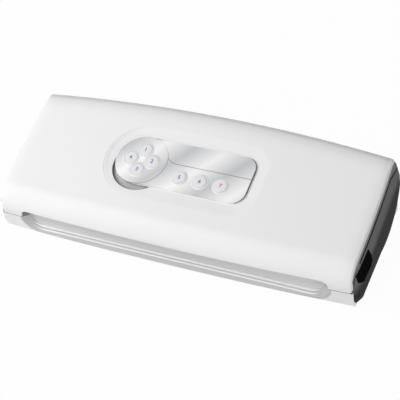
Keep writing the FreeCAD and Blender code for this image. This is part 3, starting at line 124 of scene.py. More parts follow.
def set_world():
    """Light that fades from the front left to the far right; seen itself, it is white."""
    world = bpy.data.worlds.new("studio")
    world.use_nodes = True
    scene.world = world
    tree = world.node_tree
    tree.nodes.clear()
    lit = tree.nodes.new("ShaderNodeBackground")
    lit.inputs["Color"].default_value = (1, 1, 1, 1)
    facing = tree.nodes.new("ShaderNodeVectorMath")
    facing.operation = "DOT_PRODUCT"
    facing.inputs[1].default_value = WORLD_SIDE
    tree.links.new(tree.nodes.new("ShaderNodeTexCoord").outputs["Generated"], facing.inputs[0])
    fade = tree.nodes.new("ShaderNodeMapRange")
    fade.inputs["From Min"].default_value = -1.0
    fade.inputs["To Min"].default_value = WORLD_FAR
    fade.inputs["To Max"].default_value = WORLD_NEAR
    tree.links.new(facing.outputs["Value"], fade.inputs["Value"])
    tree.links.new(fade.outputs[0], lit.inputs["Strength"])
    shown = tree.nodes.new("ShaderNodeBackground")
    shown.inputs["Color"].default_value = (1, 1, 1, 1)
    shown.inputs["Strength"].default_value = 1.0
    mix = tree.nodes.new("ShaderNodeMixShader")
    tree.links.new(seen_directly(tree), mix.inputs["Fac"])
    tree.links.new(lit.outputs[0], mix.inputs[1])
    tree.links.new(shown.outputs[0], mix.inputs[2])
    output = tree.nodes.new("ShaderNodeOutputWorld")
    tree.links.new(mix.outputs[0], output.inputs["Surface"])


def add_floor():
    """A white floor that keeps the soft shadow of the object."""
    half = FLOOR_SIZE / 2
    corners = [(x, y, -FLOOR_DROP) for x, y in ((-half, -half), (half, -half), (half, half), (-half, half))]
    mesh = bpy.data.meshes.new("floor")
    mesh.from_pydata(corners, [], [(0, 1, 2, 3)])
    floor = bpy.data.objects.new("floor", mesh)
    scene.collection.objects.link(floor)
    material = bpy.data.materials.new("floor_white")
    material.use_nodes = True
    tree = material.node_tree
    tree.nodes.clear()
    matt = tree.nodes.new("ShaderNodeBsdfDiffuse")
    matt.inputs["Color"].default_value = (FLOOR_COLOUR, FLOOR_COLOUR, FLOOR_COLOUR, 1)
    glow = tree.nodes.new("ShaderNodeEmission")
    glow.inputs["Strength"].default_value = 1.0
    share = tree.nodes.new("ShaderNodeMath")
    share.operation = "MULTIPLY"
    share.inputs[1].default_value = FLOOR_GLOW
    tree.links.new(seen_directly(tree), share.inputs[0])
    mix = tree.nodes.new("ShaderNodeMixShader")
    tree.links.new(share.outputs[0], mix.inputs["Fac"])
    tree.links.new(matt.outputs[0], mix.inputs[1])
    tree.links.new(glow.outputs[0], mix.inputs[2])
    output = tree.nodes.new("ShaderNodeOutputMaterial")
    tree.links.new(mix.outputs[0], output.inputs["Surface"])
    mesh.materials.append(material)


def add_lamp(name, place, aim, size, watts):
    data = bpy.data.lights.new(name, "AREA")
    data.shape = "RECTANGLE"
    data.size = size[0]
    data.size_y = size[1]
    data.energy = watts
    lamp = bpy.data.objects.new(name, data)
    lamp.location = place
    lamp.rotation_euler = (Vector(aim) - Vector(place)).to_track_quat("-Z", "Y").to_euler()
    scene.collection.objects.link(lamp)


# Materials

def linked(tree, value, socket):
    """Set a socket to a number or colour, or link an output to it."""
    if isinstance(value, bpy.types.NodeSocket):
        tree.links.new(value, socket)
    elif isinstance(value, tuple):
        socket.default_value = (*value, 1)
    else:
        socket.default_value = value


class Finish:
    """A material with one principled shader and helpers for its procedural detail."""

    def __init__(self, name, **sockets):
        self.material = bpy.data.materials.new(name)
        self.material.use_nodes = True
        self.tree = self.material.node_tree
        self.shader = self.tree.nodes["Principled BSDF"]
        self.place = self.tree.nodes.new("ShaderNodeTexCoord").outputs["Object"]
        self.set(**sockets)

    def set(self, **sockets):
        for key, value in sockets.items():
            linked(self.tree, value, self.shader.inputs[key.replace("_", " ")])

    def scaled(self, scale, turn=(0, 0, 0)):
        node = self.tree.nodes.new("ShaderNodeMapping")
        node.inputs["Scale"].default_value = scale
        node.inputs["Rotation"].default_value = turn
        self.tree.links.new(self.place, node.inputs["Vector"])
        return node.outputs[0]

    def noise(self, per_metre, detail=2.0, where=None):
        node = self.tree.nodes.new("ShaderNodeTexNoise")
        node.inputs["Scale"].default_value = per_metre
        node.inputs["Detail"].default_value = detail
        self.tree.links.new(where or self.place, node.inputs["Vector"])
        return node.outputs["Fac"]

    def ramp(self, factor, stops):
        node = self.tree.nodes.new("ShaderNodeValToRGB")
        ramp = node.color_ramp
        while len(ramp.elements) < len(stops):
            ramp.elements.new(0.5)
        for element, (position, colour) in zip(ramp.elements, stops):
            element.position = position
            element.color = (*colour, 1)
        self.tree.links.new(factor, node.inputs["Fac"])
        return node.outputs["Color"]

    def span(self, factor, low, high):
        node = self.tree.nodes.new("ShaderNodeMapRange")
        node.inputs["To Min"].default_value = low
        node.inputs["To Max"].default_value = high
        self.tree.links.new(factor, node.inputs["Value"])
        return node.outputs[0]

    def along(self, direction, start, end):
        """0 before one height along a direction, 1 after another, in metres."""
        node = self.tree.nodes.new("ShaderNodeVectorMath")
        node.operation = "DOT_PRODUCT"
        node.inputs[1].default_value = direction
        self.tree.links.new(self.place, node.inputs[0])
        return self.between(node.outputs["Value"], start, end)

    def away(self, centre, start, end):
        """0 within one distance of a point, 1 beyond another, in metres."""
        node = self.tree.nodes.new("ShaderNodeVectorMath")
        node.operation = "DISTANCE"
        node.inputs[1].default_value = centre
        self.tree.links.new(self.place, node.inputs[0])
        return self.between(node.outputs["Value"], start, end)

    def between(self, value, start, end):
        node = self.tree.nodes.new("ShaderNodeMapRange")
        node.interpolation_type = "SMOOTHSTEP"
        node.inputs["From Min"].default_value = start
        node.inputs["From Max"].default_value = end
        self.tree.links.new(value, node.inputs["Value"])
        return node.outputs[0]

    def bump(self, height, depth, strength=1.0):
        node = self.tree.nodes.new("ShaderNodeBump")
        node.inputs["Strength"].default_value = strength
        node.inputs["Distance"].default_value = depth
        self.tree.links.new(height, node.inputs["Height"])
        self.tree.links.new(node.outputs[0], self.shader.inputs["Normal"])


CLOUDS_PER_METRE = 14.0
CLOUD_DETAIL = 3.0
CLOUD_START = 0.3
CLOUD_END = 0.7
GLOSS_PER_METRE = 60.0
GLOSS_DRIFT = 0.03
GRAIN_PER_METRE = 2600.0
GRAIN_DETAIL = 1.0
GRAIN_STRENGTH = 0.6
FINE_GRAIN = 0.00001


def shaded(colour, share):
    return tuple(channel * share for channel in colour)


def grained(name, roughness, grain_depth, **sockets):
    """Plastic of uneven gloss with a fine spark-eroded grain, still without a colour."""
    finish = Finish(name, **sockets)
    gloss = finish.noise(GLOSS_PER_METRE)
    finish.set(Roughness=finish.span(gloss, roughness * (1 - GLOSS_DRIFT), roughness * (1 + GLOSS_DRIFT)))
    if grain_depth:
        finish.bump(finish.noise(GRAIN_PER_METRE, GRAIN_DETAIL), grain_depth, GRAIN_STRENGTH)
    return finish


def moulded(name, colour, shift, roughness, grain_depth, **sockets):
    """Moulded plastic with a faint cloudiness of colour."""
    finish = grained(name, roughness, grain_depth, **sockets)
    cloud = finish.noise(CLOUDS_PER_METRE, CLOUD_DETAIL)
    tones = [(CLOUD_START, shaded(colour, 1 - shift)), (CLOUD_END, colour)]
    finish.set(Base_Color=finish.ramp(cloud, tones))
    return finish.material


# wide light and dark bands painted on the panel as reflections
BAND_TURN = math.radians(39.6)
BAND_SCALE = 6.79
BAND_PHASE = 2.73
HAIRLINES_PER_METRE = 900.0
HAIRLINE_DETAIL = 2.0
HAIRLINE_STRETCH = (0.02, 1, 1)
HAIRLINE_DEPTH = 0.00001
HAIRLINE_STRENGTH = 0.3
HAIRLINE_DRIFT = 0.15
SILVER_REFLECTION_DARK = (0.48, 0.485, 0.50)
SILVER_REFLECTION_LIGHT = (0.79, 0.79, 0.79)
SILVER_ROUGHNESS = 0.36
SILVER_METAL = 0.7


def brushed(name):
    """Satin metal with wide soft bands across it, painted reflections, and a hairline grain along it."""
    finish = Finish(name, Metallic=SILVER_METAL)
    wave = finish.tree.nodes.new("ShaderNodeTexWave")
    wave.wave_profile = "TRI"
    wave.inputs["Scale"].default_value = BAND_SCALE
    wave.inputs["Phase Offset"].default_value = BAND_PHASE
    wave.inputs["Distortion"].default_value = 0.0
    finish.tree.links.new(finish.scaled((1, 1, 1), (0, 0, BAND_TURN)), wave.inputs["Vector"])
    finish.set(Base_Color=finish.ramp(wave.outputs["Fac"], [(0.0, SILVER_REFLECTION_DARK), (1.0, SILVER_REFLECTION_LIGHT)]))
    hairline = finish.noise(HAIRLINES_PER_METRE, HAIRLINE_DETAIL, finish.scaled(HAIRLINE_STRETCH))
    smoothest = SILVER_ROUGHNESS * (1 - HAIRLINE_DRIFT)
    finish.set(Roughness=finish.span(hairline, smoothest, SILVER_ROUGHNESS * (1 + HAIRLINE_DRIFT)))
    finish.bump(hairline, HAIRLINE_DEPTH, HAIRLINE_STRENGTH)
    return finish.material


CLOTH_COLOUR = (0.42, 0.30, 0.18)
CLOTH_ROUGHNESS = 0.5
THREADS_PER_METRE = 1800.0
THREAD_DETAIL = 1.0
THREAD_STRETCH = (1, 0.2, 1)
THREAD_SHADE = 0.75
THREAD_START = 0.35
THREAD_END = 0.65


def woven(name):
    """Glass cloth under a slick coating."""
    finish = Finish(name, Roughness=CLOTH_ROUGHNESS)
    threads = finish.noise(THREADS_PER_METRE, THREAD_DETAIL, finish.scaled(THREAD_STRETCH))
    tones = [(THREAD_START, shaded(CLOTH_COLOUR, THREAD_SHADE)), (THREAD_END, CLOTH_COLOUR)]
    finish.set(Base_Color=finish.ramp(threads, tones))
    return finish.material


def grey(level):
    return (level, level, level)


FINISHES = {
    # slot: colour, its drift, roughness, depth of the grain, other sockets
    "white_shell": (grey(0.86), 0.01, 0.26, 0.0, {"Specular IOR Level": 0.06}),
    "pale_inner": (grey(0.74), 0.02, 0.45, FINE_GRAIN, {}),
    "button_cap": ((0.78, 0.78, 0.79), 0.01, 0.3, 0.0, {}),
    "black_button": (grey(0.007), 0.1, 0.5, FINE_GRAIN, {"Specular IOR Level": 0.0}),
    "rubber_black": (grey(0.03), 0.1, 0.7, 2 * FINE_GRAIN, {}),
    "silicone": ((0.30, 0.06, 0.045), 0.08, 0.55, FINE_GRAIN, {}),
    "steel": ((0.6, 0.6, 0.61), 0.06, 0.3, 0.0, {"Metallic": 1.0}),
    "board": ((0.04, 0.20, 0.10), 0.1, 0.4, 0.0, {}),
    "copper": ((0.55, 0.26, 0.10), 0.12, 0.4, 0.0, {"Metallic": 0.8}),
    "hose": ((0.72, 0.72, 0.69), 0.03, 0.4, 0.0, {}),
    "clear_tray": ((0.68, 0.70, 0.72), 0.02, 0.3, 0.0, {}),
    # finishes of the scene's own pieces
    "button_ring": ((0.76, 0.76, 0.77), 0.02, 0.3, 0.0, {}),
    # painted shadow for the dark strips in the gaps beside the bag mouth and along the cheeks
    "painted_seam_shadow": (grey(0.02), 0.1, 0.7, 0.0, {"Specular IOR Level": 0.1}),
    # a grey that paints the shade of the fine steps round the disc
    "dish_line_shade": (grey(0.6), 0.02, 0.4, 0.0, {"Specular IOR Level": 0.1}),
    "line_grey": (grey(0.24), 0.04, 0.5, 0.0, {}),
    # painted shade of the panel's right end
    "painted_edge_shade": (grey(0.13), 0.04, 0.5, 0.0, {"Specular IOR Level": 0.1}),
    "bead_white": (grey(0.9), 0.01, 0.35, 0.0, {}),
    "violet_ink": ((0.10, 0.08, 0.40), 0.05, 0.5, 0.0, {}),
    "red_ink": ((0.70, 0.04, 0.06), 0.05, 0.5, 0.0, {}),
}


GUIDE_ROUGHNESS = 0.42
GUIDE_GLOSS = 0.1
GUIDE_BAND_END = -0.0626
GUIDE_WALL_START = -0.0620
# grey of the sloping band, then a lighter grey for the wall behind: painted light against the shade under the
# lid
GUIDE_PAINTED_LIGHT_TONES = [(0.0, grey(0.55)), (1.0, grey(0.72))]


def guide_finish():
    """The bag guide: its sloping band a little darker than the wall behind, whose lighter grey is painted
    light against the shade under the lid's edge.
    """
    finish = grained("grey_guide", GUIDE_ROUGHNESS, FINE_GRAIN, Specular_IOR_Level=GUIDE_GLOSS)
    depth = finish.along((0, 1, 0), GUIDE_BAND_END, GUIDE_WALL_START)
    finish.set(Base_Color=finish.ramp(depth, GUIDE_PAINTED_LIGHT_TONES))
    return finish.material


CHEEK_ROUGHNESS = 0.55
CHEEK_GLOSS = 0.02
CHEEK_DARK_END = 0.026
CHEEK_PALE_START = 0.0515
# near black below, paler grey towards the top: painted shade and painted light
CHEEK_PAINTED_LIGHT_TONES = [(0.0, grey(0.032)), (0.45, grey(0.19)), (0.9, grey(0.19)), (1.0, grey(0.30))]


def cheek_finish():
    """The end cheeks: dark below and paler along the slope at their top, painted shade and painted light for
    how the light falls on them.
    """
    finish = grained("dark_cheek", CHEEK_ROUGHNESS, FINE_GRAIN, Specular_IOR_Level=CHEEK_GLOSS)
    height = finish.along((0, -SLOPE, 1), CHEEK_DARK_END, CHEEK_PALE_START)
    finish.set(Base_Color=finish.ramp(height, CHEEK_PAINTED_LIGHT_TONES))
    return finish.material


TROUGH_ROUGHNESS = 0.4
TROUGH_SHADE_WIDTH = 4
# painted shade: mid grey in the trough, near black at its outer wall
TROUGH_SHADE_TONES = [(0, grey(0.42)), (1, grey(0.16))]


def trough_finish():
    """The trough beside the disc, a painted shade that darkens towards its outer wall."""
    finish = grained("trough_painted_shade", TROUGH_ROUGHNESS, 0.0)
    centre = PANEL @ Vector((*TROUGH_CENTRE, -TROUGH_DEPTH)) * MM
    reach = finish.away(centre, (TROUGH_RADIUS - TROUGH_SHADE_WIDTH) * MM, TROUGH_RADIUS * MM)
    finish.set(Base_Color=finish.ramp(reach, TROUGH_SHADE_TONES))
    return finish.material


def make_finishes():
    made = {}
    for name, (colour, shift, roughness, grain_depth, sockets) in FINISHES.items():
        made[name] = moulded(name, colour, shift, roughness, grain_depth, **sockets)
    made["grey_guide"] = guide_finish()
    made["dark_cheek"] = cheek_finish()
    made["trough_painted_shade"] = trough_finish()
    made["silver_panel"] = brushed("silver_panel")
    made["tape"] = woven("tape")
    return made


def dress_nodes():
    """Give every solid the finish of its slot."""
    for entry in frame["record"]["subparts"]:
        mesh = frame["nodes"][entry["node"]].data
        mesh.materials.clear()
        mesh.materials.append(finishes[entry["material_slot"]])


# The lid's moulded outer surface, in millimetres

LID_HALF = 182.0
FRONT_END = -66.45
BACK_END = 62.05
FRONT_BOW = 4.0
BACK_BOW = 8.4
BACK_HEIGHT = 70.9
CROWN = 4.0
NOSE_RADIUS = 24.4
REAR_RADIUS = 8.0
TOP_ANGLE = math.radians(11.1)
SLOPE = math.tan(TOP_ANGLE)
SINE = math.sin(TOP_ANGLE)
COSINE = math.cos(TOP_ANGLE)
END_BOW = 1.8
END_MIDDLE = -2.2
END_HALF_DEPTH = 64.25
SOFT_EDGE = 16.0
SOFT_TILT = 0.4


def lid_surface(x, y, z):
    """Height of a point over the lid's outer surface, and its normal, softened at the rear and the ends."""
    bow = 1 - (x / LID_HALF) ** 2
    lean = -2 * x / LID_HALF ** 2
    front = FRONT_END - FRONT_BOW * bow
    back = BACK_END + BACK_BOW * bow
    top_lean = (CROWN - SLOPE * BACK_BOW) * lean

    def top(at):
        return BACK_HEIGHT + CROWN * bow - SLOPE * (back - at)

    def rolled(radius, centre_y, drift, outward):
        """An edge rolled from the top into a wall that faces front or back."""
        centre_z = top(centre_y) - radius / COSINE
        if z < centre_z:
            return outward * (y - centre_y) - radius, Vector((-outward * drift, outward, 0)).normalized()
        away_y = y - centre_y
        away_z = z - centre_z
        reach = math.hypot(away_y, away_z)
        lift = top_lean + SLOPE * drift
        normal = Vector((-(away_y * drift + away_z * lift) / reach, away_y / reach, away_z / reach))
        soft = Vector((math.copysign(at_end, x), max(outward, 0), 0)) * SOFT_TILT * normal.z
        return reach - radius, (normal + soft).normalized()

    end = LID_HALF + END_BOW * (1 - ((y - END_MIDDLE) / END_HALF_DEPTH) ** 2)
    at_end = max(0.0, 1 - (end - abs(x)) / SOFT_EDGE) ** 2
    nose_y = front + NOSE_RADIUS
    rear_y = back - REAR_RADIUS
    if y < nose_y - NOSE_RADIUS * SINE:
        return rolled(NOSE_RADIUS, nose_y, -FRONT_BOW * lean, -1)
    if y > rear_y - REAR_RADIUS * SINE:
        return rolled(REAR_RADIUS, rear_y, BACK_BOW * lean, 1)
    at_rear = max(0.0, 1 - (rear_y - REAR_RADIUS * SINE - y) / SOFT_EDGE) ** 2
    tilt = Vector((math.copysign(SOFT_TILT * at_end, x), SOFT_TILT * at_rear, 0))
    return (z - top(y)) * COSINE, (Vector((-top_lean, -SLOPE, 1)) + tilt).normalized()


# Control panel: u along the sealer, v up its slope, w out of it, in millimetres

PANEL_MIDDLE = Vector((0, 2.55, 61.18))
PANEL = Matrix.Translation(PANEL_MIDDLE) @ Matrix.Rotation(TOP_ANGLE, 4, "X")
PANEL_UP = PANEL.to_3x3() @ Vector((0, 0, 1))
DISC_U = -52.0
DISC_TOP = 0.3
BUTTONS = (
    (-52.0, 11.4),
    (-40.6, 0.0),
    (-52.0, -11.4),
    (-63.4, 0.0),
    (-7.1, -10.8),
    (14.2, -10.8),
    (35.5, -10.8),
)
DISC_BUTTONS = 4
TROUGH_CENTRE = (-51.2, -5.5)
TROUGH_RADIUS = 28.3
TROUGH_DEPTH = 3.6


def add_piece(mesh, body):
    """A new piece, named as its mesh, that rides on a body."""
    piece = bpy.data.objects.new(mesh.name, mesh)
    scene.collection.objects.link(piece)
    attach(piece, body)
    return piece


WELD = 0.001 * MM
ON_SURFACE = 0.05
NEAR_SURFACE = 0.3
LONGEST_EDGE = 7.0
REFINE_TURNS = 7
ROLL_START = 176.0
SAME_FORM = math.cos(math.radians(35))
SMOOTH_EDGE = math.cos(math.radians(30))
DISH_TILT = math.cos(math.radians(12))
DISH_EDGE = math.cos(math.radians(3))


def averaged(vertex, face, limit):
    """Mean normal of the faces round a vertex that turn away from a face by less than a limit."""
    total = Vector()
    for other in vertex.link_faces:
        if other.normal.dot(face.normal) > limit:
            total += other.normal * other.calc_area()
    return total.normalized() if total.length > 0 else face.normal.copy()


def lies_on_form(face, form):
    return all(abs(form[vertex][0]) < ON_SURFACE and form[vertex][1].dot(face.normal) > SAME_FORM
               for vertex in face.verts)


def refine(builder):
    """Divide the long edges of the faces on the lid's outer surface, with the new corners on that surface."""
    for _ in range(REFINE_TURNS):
        builder.normal_update()
        form = {vertex: lid_surface(*(vertex.co / MM)) for vertex in builder.verts}
        edges = {edge for face in builder.faces if lies_on_form(face, form) for edge in face.edges
                 if edge.calc_length() > LONGEST_EDGE * MM}
        if not edges:
            return
        made = bmesh.ops.subdivide_edges(builder, edges=sorted(edges, key=lambda edge: edge.index), cuts=1)
        for vertex in made["geom_inner"]:
            if isinstance(vertex, bmesh.types.BMVert):
                height, normal = lid_surface(*(vertex.co / MM))
                if abs(height) < NEAR_SURFACE:
                    moved = vertex.co - normal * height * MM
                    vertex.co = [min(max(value, low), high) for value, low, high in zip(moved, *CAD_BOX)]
        bmesh.ops.triangulate(builder, faces=builder.faces)
        builder.verts.index_update()
        builder.edges.index_update()


def lid_normals(builder):
    """A normal for each face corner: the moulded form's own where a face lies on it, else an average."""
    builder.normal_update()
    form = {vertex: lid_surface(*(vertex.co / MM)) for vertex in builder.verts}
    normals = []
    for face in builder.faces:
        on_form = lies_on_form(face, form)
        at_end = min(abs(vertex.co.x) for vertex in face.verts) > ROLL_START * MM
        dished = not on_form and face.normal.dot(PANEL_UP) > DISH_TILT
        for loop in face.loops:
            height, normal = form[loop.vert]
            follows = on_form or at_end and abs(height) < ON_SURFACE
            if follows and normal.dot(face.normal) > SAME_FORM:
                normals.append(normal)
            else:
                normals.append(averaged(loop.vert, face, DISH_EDGE if dished else SMOOTH_EDGE))
    return normals


def in_trough(face):
    """Whether a face is a wall or the floor of the trough beside the disc."""
    u, v, w = PANEL.inverted() @ (face.calc_center_median() / MM)
    near = math.hypot(u - TROUGH_CENTRE[0], v - TROUGH_CENTRE[1]) < TROUGH_RADIUS + ON_SURFACE
    sloping = face.normal.dot(PANEL_UP) > DISH_TILT and w > -TROUGH_DEPTH + ON_SURFACE
    return near and -TROUGH_DEPTH - ON_SURFACE < w < 0 and not sloping


def add_lid_skin():
    """The lid's shell with the even shading of its moulded form, and its trough in a painted grey shade."""
    mesh = frame["nodes"]["lid_shell"].data.copy()
    mesh.name = "lid_skin"
    # the second slot paints the shade of the trough
    mesh.materials.append(finishes["trough_painted_shade"])
    builder = bmesh.new()
    builder.from_mesh(mesh)
    bmesh.ops.remove_doubles(builder, verts=builder.verts, dist=WELD)
    refine(builder)
    for face in builder.faces:
        face.smooth = True
        face.material_index = int(in_trough(face))
    normals = lid_normals(builder)
    builder.to_mesh(mesh)
    builder.free()
    mesh.normals_split_custom_set(normals)
    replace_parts(add_piece(mesh, "lid"), "lid_shell")


CHEEK_FLAT = math.cos(math.radians(1))
CHEEK_BEVEL = math.cos(math.radians(50))
CHEEK_ROLL = 3.0
CHEEK_ROLL_STEPS = 4
ROUND_PROFILE = 0.5
CHEEK_SMOOTH = math.cos(math.radians(40))
FLAT_ANGLE = math.radians(0.3)


def add_cheek_skin(name, node, side):
    """An end cheek with the edge round its outer face rolled over."""
    mesh = frame["nodes"][node].data.copy()
    mesh.name = name
    builder = bmesh.new()
    builder.from_mesh(mesh)
    bmesh.ops.remove_doubles(builder, verts=builder.verts, dist=WELD)
    bmesh.ops.dissolve_limit(builder, angle_limit=FLAT_ANGLE, verts=builder.verts, edges=builder.edges)
    builder.normal_update()
    rim = []
    for edge in builder.edges:
        lean = sorted(face.normal.x * side for face in edge.link_faces)
        if len(lean) == 2 and CHEEK_BEVEL < lean[0] < CHEEK_FLAT < lean[1]:
            rim.append(edge)
    bmesh.ops.bevel(builder, geom=rim, offset=CHEEK_ROLL * MM, segments=CHEEK_ROLL_STEPS,
                    profile=ROUND_PROFILE, affect="EDGES", clamp_overlap=True)
    bmesh.ops.triangulate(builder, faces=builder.faces)
    builder.normal_update()
    for face in builder.faces:
        face.smooth = True
    normals = [averaged(loop.vert, face, CHEEK_SMOOTH) for face in builder.faces for loop in face.loops]
    builder.to_mesh(mesh)
    builder.free()
    mesh.normals_split_custom_set(normals)
    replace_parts(add_piece(mesh, "base"), node)


def steps(start, end, count):
    return [start + (end - start) * index / count for index in range(count + 1)]


RING_INNER = 6.75
RING_CREST = 7.45
RING_OUTER = 8.5
RING_RISE = 0.46
RING_SINK = 0.1
RING_SIDES = 72
RING_STEPS = 8
RING_CURVE = 1.5
RING_SHARP = math.radians(50)


def add_button_ring(number, place, level):
    """A rounded collar round one button, sloping off outwards."""
    profile = [(RING_OUTER, level - RING_SINK)]
    for share in steps(0, 1, RING_STEPS):
        radius = RING_OUTER + (RING_CREST - RING_OUTER) * share
        profile.append((radius, level + RING_RISE * math.sin(math.pi / 2 * share) ** RING_CURVE))
    profile.append((RING_INNER, level + RING_RISE))
    profile.append((RING_INNER, level - RING_SINK))
    points = []
    for side in range(RING_SIDES):
        turn = 2 * math.pi * side / RING_SIDES
        for radius, w in profile:
            spot = Vector((place[0] + radius * math.cos(turn), place[1] + radius * math.sin(turn), w))
            points.append(PANEL @ spot * MM)
    faces = []
    count = len(profile)
    for side in range(RING_SIDES):
        this = side * count
        following = (side + 1) % RING_SIDES * count
        for step in range(count):
            beside = (step + 1) % count
            faces.append((this + step, following + step, following + beside, this + beside))
    mesh = bpy.data.meshes.new(f"button_ring_{number}")
    mesh.from_pydata(points, [], faces)
    mesh.shade_smooth()
    mesh.set_sharp_from_angle(angle=RING_SHARP)
    mesh.materials.append(finishes["button_ring"])
    add_piece(mesh, "lid")


STRIP_SHARP = math.radians(40)


def add_strip(name, body, sections, finish):
    """A closed strip swept through cross-sections of equally many corners, in millimetres."""
    count = len(sections[0])
    points = [Vector(corner) * MM for section in sections for corner in section]
    faces = [tuple(range(count))[::-1], tuple(range(len(points) - count, len(points)))]
    for start in range(0, len(points) - count, count):
        for corner in range(count):
            beside = (corner + 1) % count
            faces.append((start + corner, start + beside, start + count + beside, start + count + corner))
    mesh = bpy.data.meshes.new(name)
    mesh.from_pydata(points, [], faces)
    builder = bmesh.new()
    builder.from_mesh(mesh)
    bmesh.ops.recalc_face_normals(builder, faces=builder.faces)
    builder.to_mesh(mesh)
    builder.free()
    mesh.shade_smooth()
    mesh.set_sharp_from_angle(angle=STRIP_SHARP)
    mesh.materials.append(finishes[finish])
    add_piece(mesh, body)


BEADS = (
    # name, y, z, radius
    ("guide_bead_upper", -62.95, 9.43, 1.2),
    ("guide_bead_lower", -65.15, 6.90, 0.85),
)
BEAD_HALF = 139.9
BEAD_SIDES = 20
SCOOP_CORNER = 16.0
BEAD_TURN = math.radians(42)
BEAD_THINNING = 0.85
SCOOP_STEPS = 10


def scoop_line(turn_end):
    """Places along the scoop, the height that its rounded corners add, and the share of the bend covered."""
    bend = []
    for share in steps(0, 1, SCOOP_STEPS):
        turn = turn_end * share
        bend.append((BEAD_HALF + SCOOP_CORNER * math.sin(turn), SCOOP_CORNER * (1 - math.cos(turn)), share))
    return [(-x, rise, share) for x, rise, share in reversed(bend)] + bend


def add_beads():
    """The two pale beads along the bag guide, turning up and thinning out at the scoop's corners."""
    turns = steps(0, 2 * math.pi, BEAD_SIDES)[:-1]
    for name, y, z, radius in BEADS:
        sections = []
        for x, rise, share in scoop_line(BEAD_TURN):
            size = radius * (1 - BEAD_THINNING * share)
            middle = z + rise
            sections.append([(x, y + size * math.cos(turn), middle + size * math.sin(turn))
                             for turn in turns])
        add_strip(name, "base", sections, "bead_white")


COVE_FRONT = (-62.3, 10.3)
COVE_BACK = (-59.5, 14.5)
COVE_STEPS = 6
COVE_CURVE = 1.6
COVE_SINK = 0.3
COVE_TURN = math.radians(62)
COVE_THINNING = 0.97


def add_cove():
    """The hollow fillet between the beads and the wall behind them."""
    sections = []
    depth = COVE_BACK[0] - COVE_FRONT[0]
    height = COVE_BACK[1] - COVE_FRONT[1]
    for x, rise, share in scoop_line(COVE_TURN):
        foot = COVE_FRONT[1] + rise
        fade = 1 - COVE_THINNING * share ** 2
        curve = [(x, COVE_FRONT[0] + depth * part, foot + height * fade * part ** COVE_CURVE)
                 for part in steps(0, 1, COVE_STEPS)]
        sections.append(curve + [(x, COVE_BACK[0], foot - COVE_SINK)])
    add_strip("guide_cove", "base", sections, "grey_guide")


SEAM_LOW = 21.04
SEAM_HIGH = 21.96
SEAM_INSET = 0.3
SEAM_WIDTH = 0.7
SEAM_START = 160.6
SEAM_END = 181.4
SEAM_STEPS = 8


def add_seam_liners():
    """Dark strips behind the parting line at both sides of the bag mouth: a painted shadow in the gap."""
    for side, name in ((-1, "left_seam_shadow"), (1, "right_seam_shadow")):
        sections = []
        for x in steps(SEAM_START, SEAM_END, SEAM_STEPS):
            front = FRONT_END - FRONT_BOW * (1 - (x / LID_HALF) ** 2) + SEAM_INSET
            back = front + SEAM_WIDTH
            sections.append([(side * x, front, SEAM_LOW), (side * x, back, SEAM_LOW),
                             (side * x, back, SEAM_HIGH), (side * x, front, SEAM_HIGH)])
        add_strip(name, "base", sections, "painted_seam_shadow")


CHEEK_INNER = 182.85
CHEEK_SINK = 9.3
# the dark strip along each cheek is a painted shadow of the gap under the lid's strip
CHEEK_SHADOW_LINE = (-46.0, 41.6)
CHEEK_SHADOW_REACH = 0.8
BEVEL_LEAN = 3.4 / 14.0
BEVEL_LIP = 0.35
CHEEK_SHADOW_THICKNESS = 0.45
CHEEK_SHADOW_STEPS = 12
CHEEK_SHADOW_END_LOW = 55.45
CHEEK_SHADOW_END_INSET = 1.0


def add_cheek_seals():
    """A thin dark strip along the top of each cheek and down across its rear corner, under the lid's strip: a
    painted shadow of the gap there.
    """
    line = [(y, BACK_HEIGHT - CHEEK_SINK - SLOPE * (BACK_END - y)) for y in steps(*CHEEK_SHADOW_LINE, CHEEK_SHADOW_STEPS)]
    line.append((BACK_END - CHEEK_SHADOW_END_INSET, CHEEK_SHADOW_END_LOW))
    for side, name in ((-1, "left_cheek_seam_shadow"), (1, "right_cheek_seam_shadow")):
        sections = []
        for y, z in line:
            below = BACK_HEIGHT - CHEEK_SINK - SLOPE * (BACK_END - y) - z
            outer = LID_HALF + END_BOW * (1 - ((y - END_MIDDLE) / END_HALF_DEPTH) ** 2) + CHEEK_SHADOW_REACH
            outer = max(outer, CHEEK_INNER + BEVEL_LEAN * below + BEVEL_LIP)
            under = z - CHEEK_SHADOW_THICKNESS
            sections.append([(side * CHEEK_INNER, y, z), (side * outer, y, z),
                             (side * outer, y, under), (side * CHEEK_INNER, y, under)])
        add_strip(name, "base", sections, "painted_seam_shadow")


PANEL_RIGHT = 62.7
PANEL_HALF = 26.0
PANEL_CORNER = 13.0
BEZEL_WIDTH = 0.5
BEZEL_TOP = -1.14
BEZEL_LOW = -1.9
BEZEL_STEPS = 12


def add_panel_bezel():
    """A white line that closes the gap round the panel, from the disc along the right end and back."""
    corner_u = PANEL_RIGHT - PANEL_CORNER
    corner_v = PANEL_HALF - PANEL_CORNER
    line = [(DISC_U, -PANEL_HALF, 0, -1)]
    for centre_v, start in ((-corner_v, -math.pi / 2), (corner_v, 0.0)):
        for turn in steps(start, start + math.pi / 2, BEZEL_STEPS):
            line.append((corner_u + PANEL_CORNER * math.cos(turn), centre_v + PANEL_CORNER * math.sin(turn),
                         math.cos(turn), math.sin(turn)))
    line.append((DISC_U, PANEL_HALF, 0, 1))
    sections = []
    for u, v, out_u, out_v in line:
        far_u = u + BEZEL_WIDTH * out_u
        far_v = v + BEZEL_WIDTH * out_v
        corners = ((u, v, BEZEL_LOW), (far_u, far_v, BEZEL_LOW),
                   (far_u, far_v, BEZEL_TOP), (u, v, BEZEL_TOP))
        sections.append([PANEL @ Vector(corner) for corner in corners])
    add_strip("panel_bezel", "lid", sections, "white_shell")


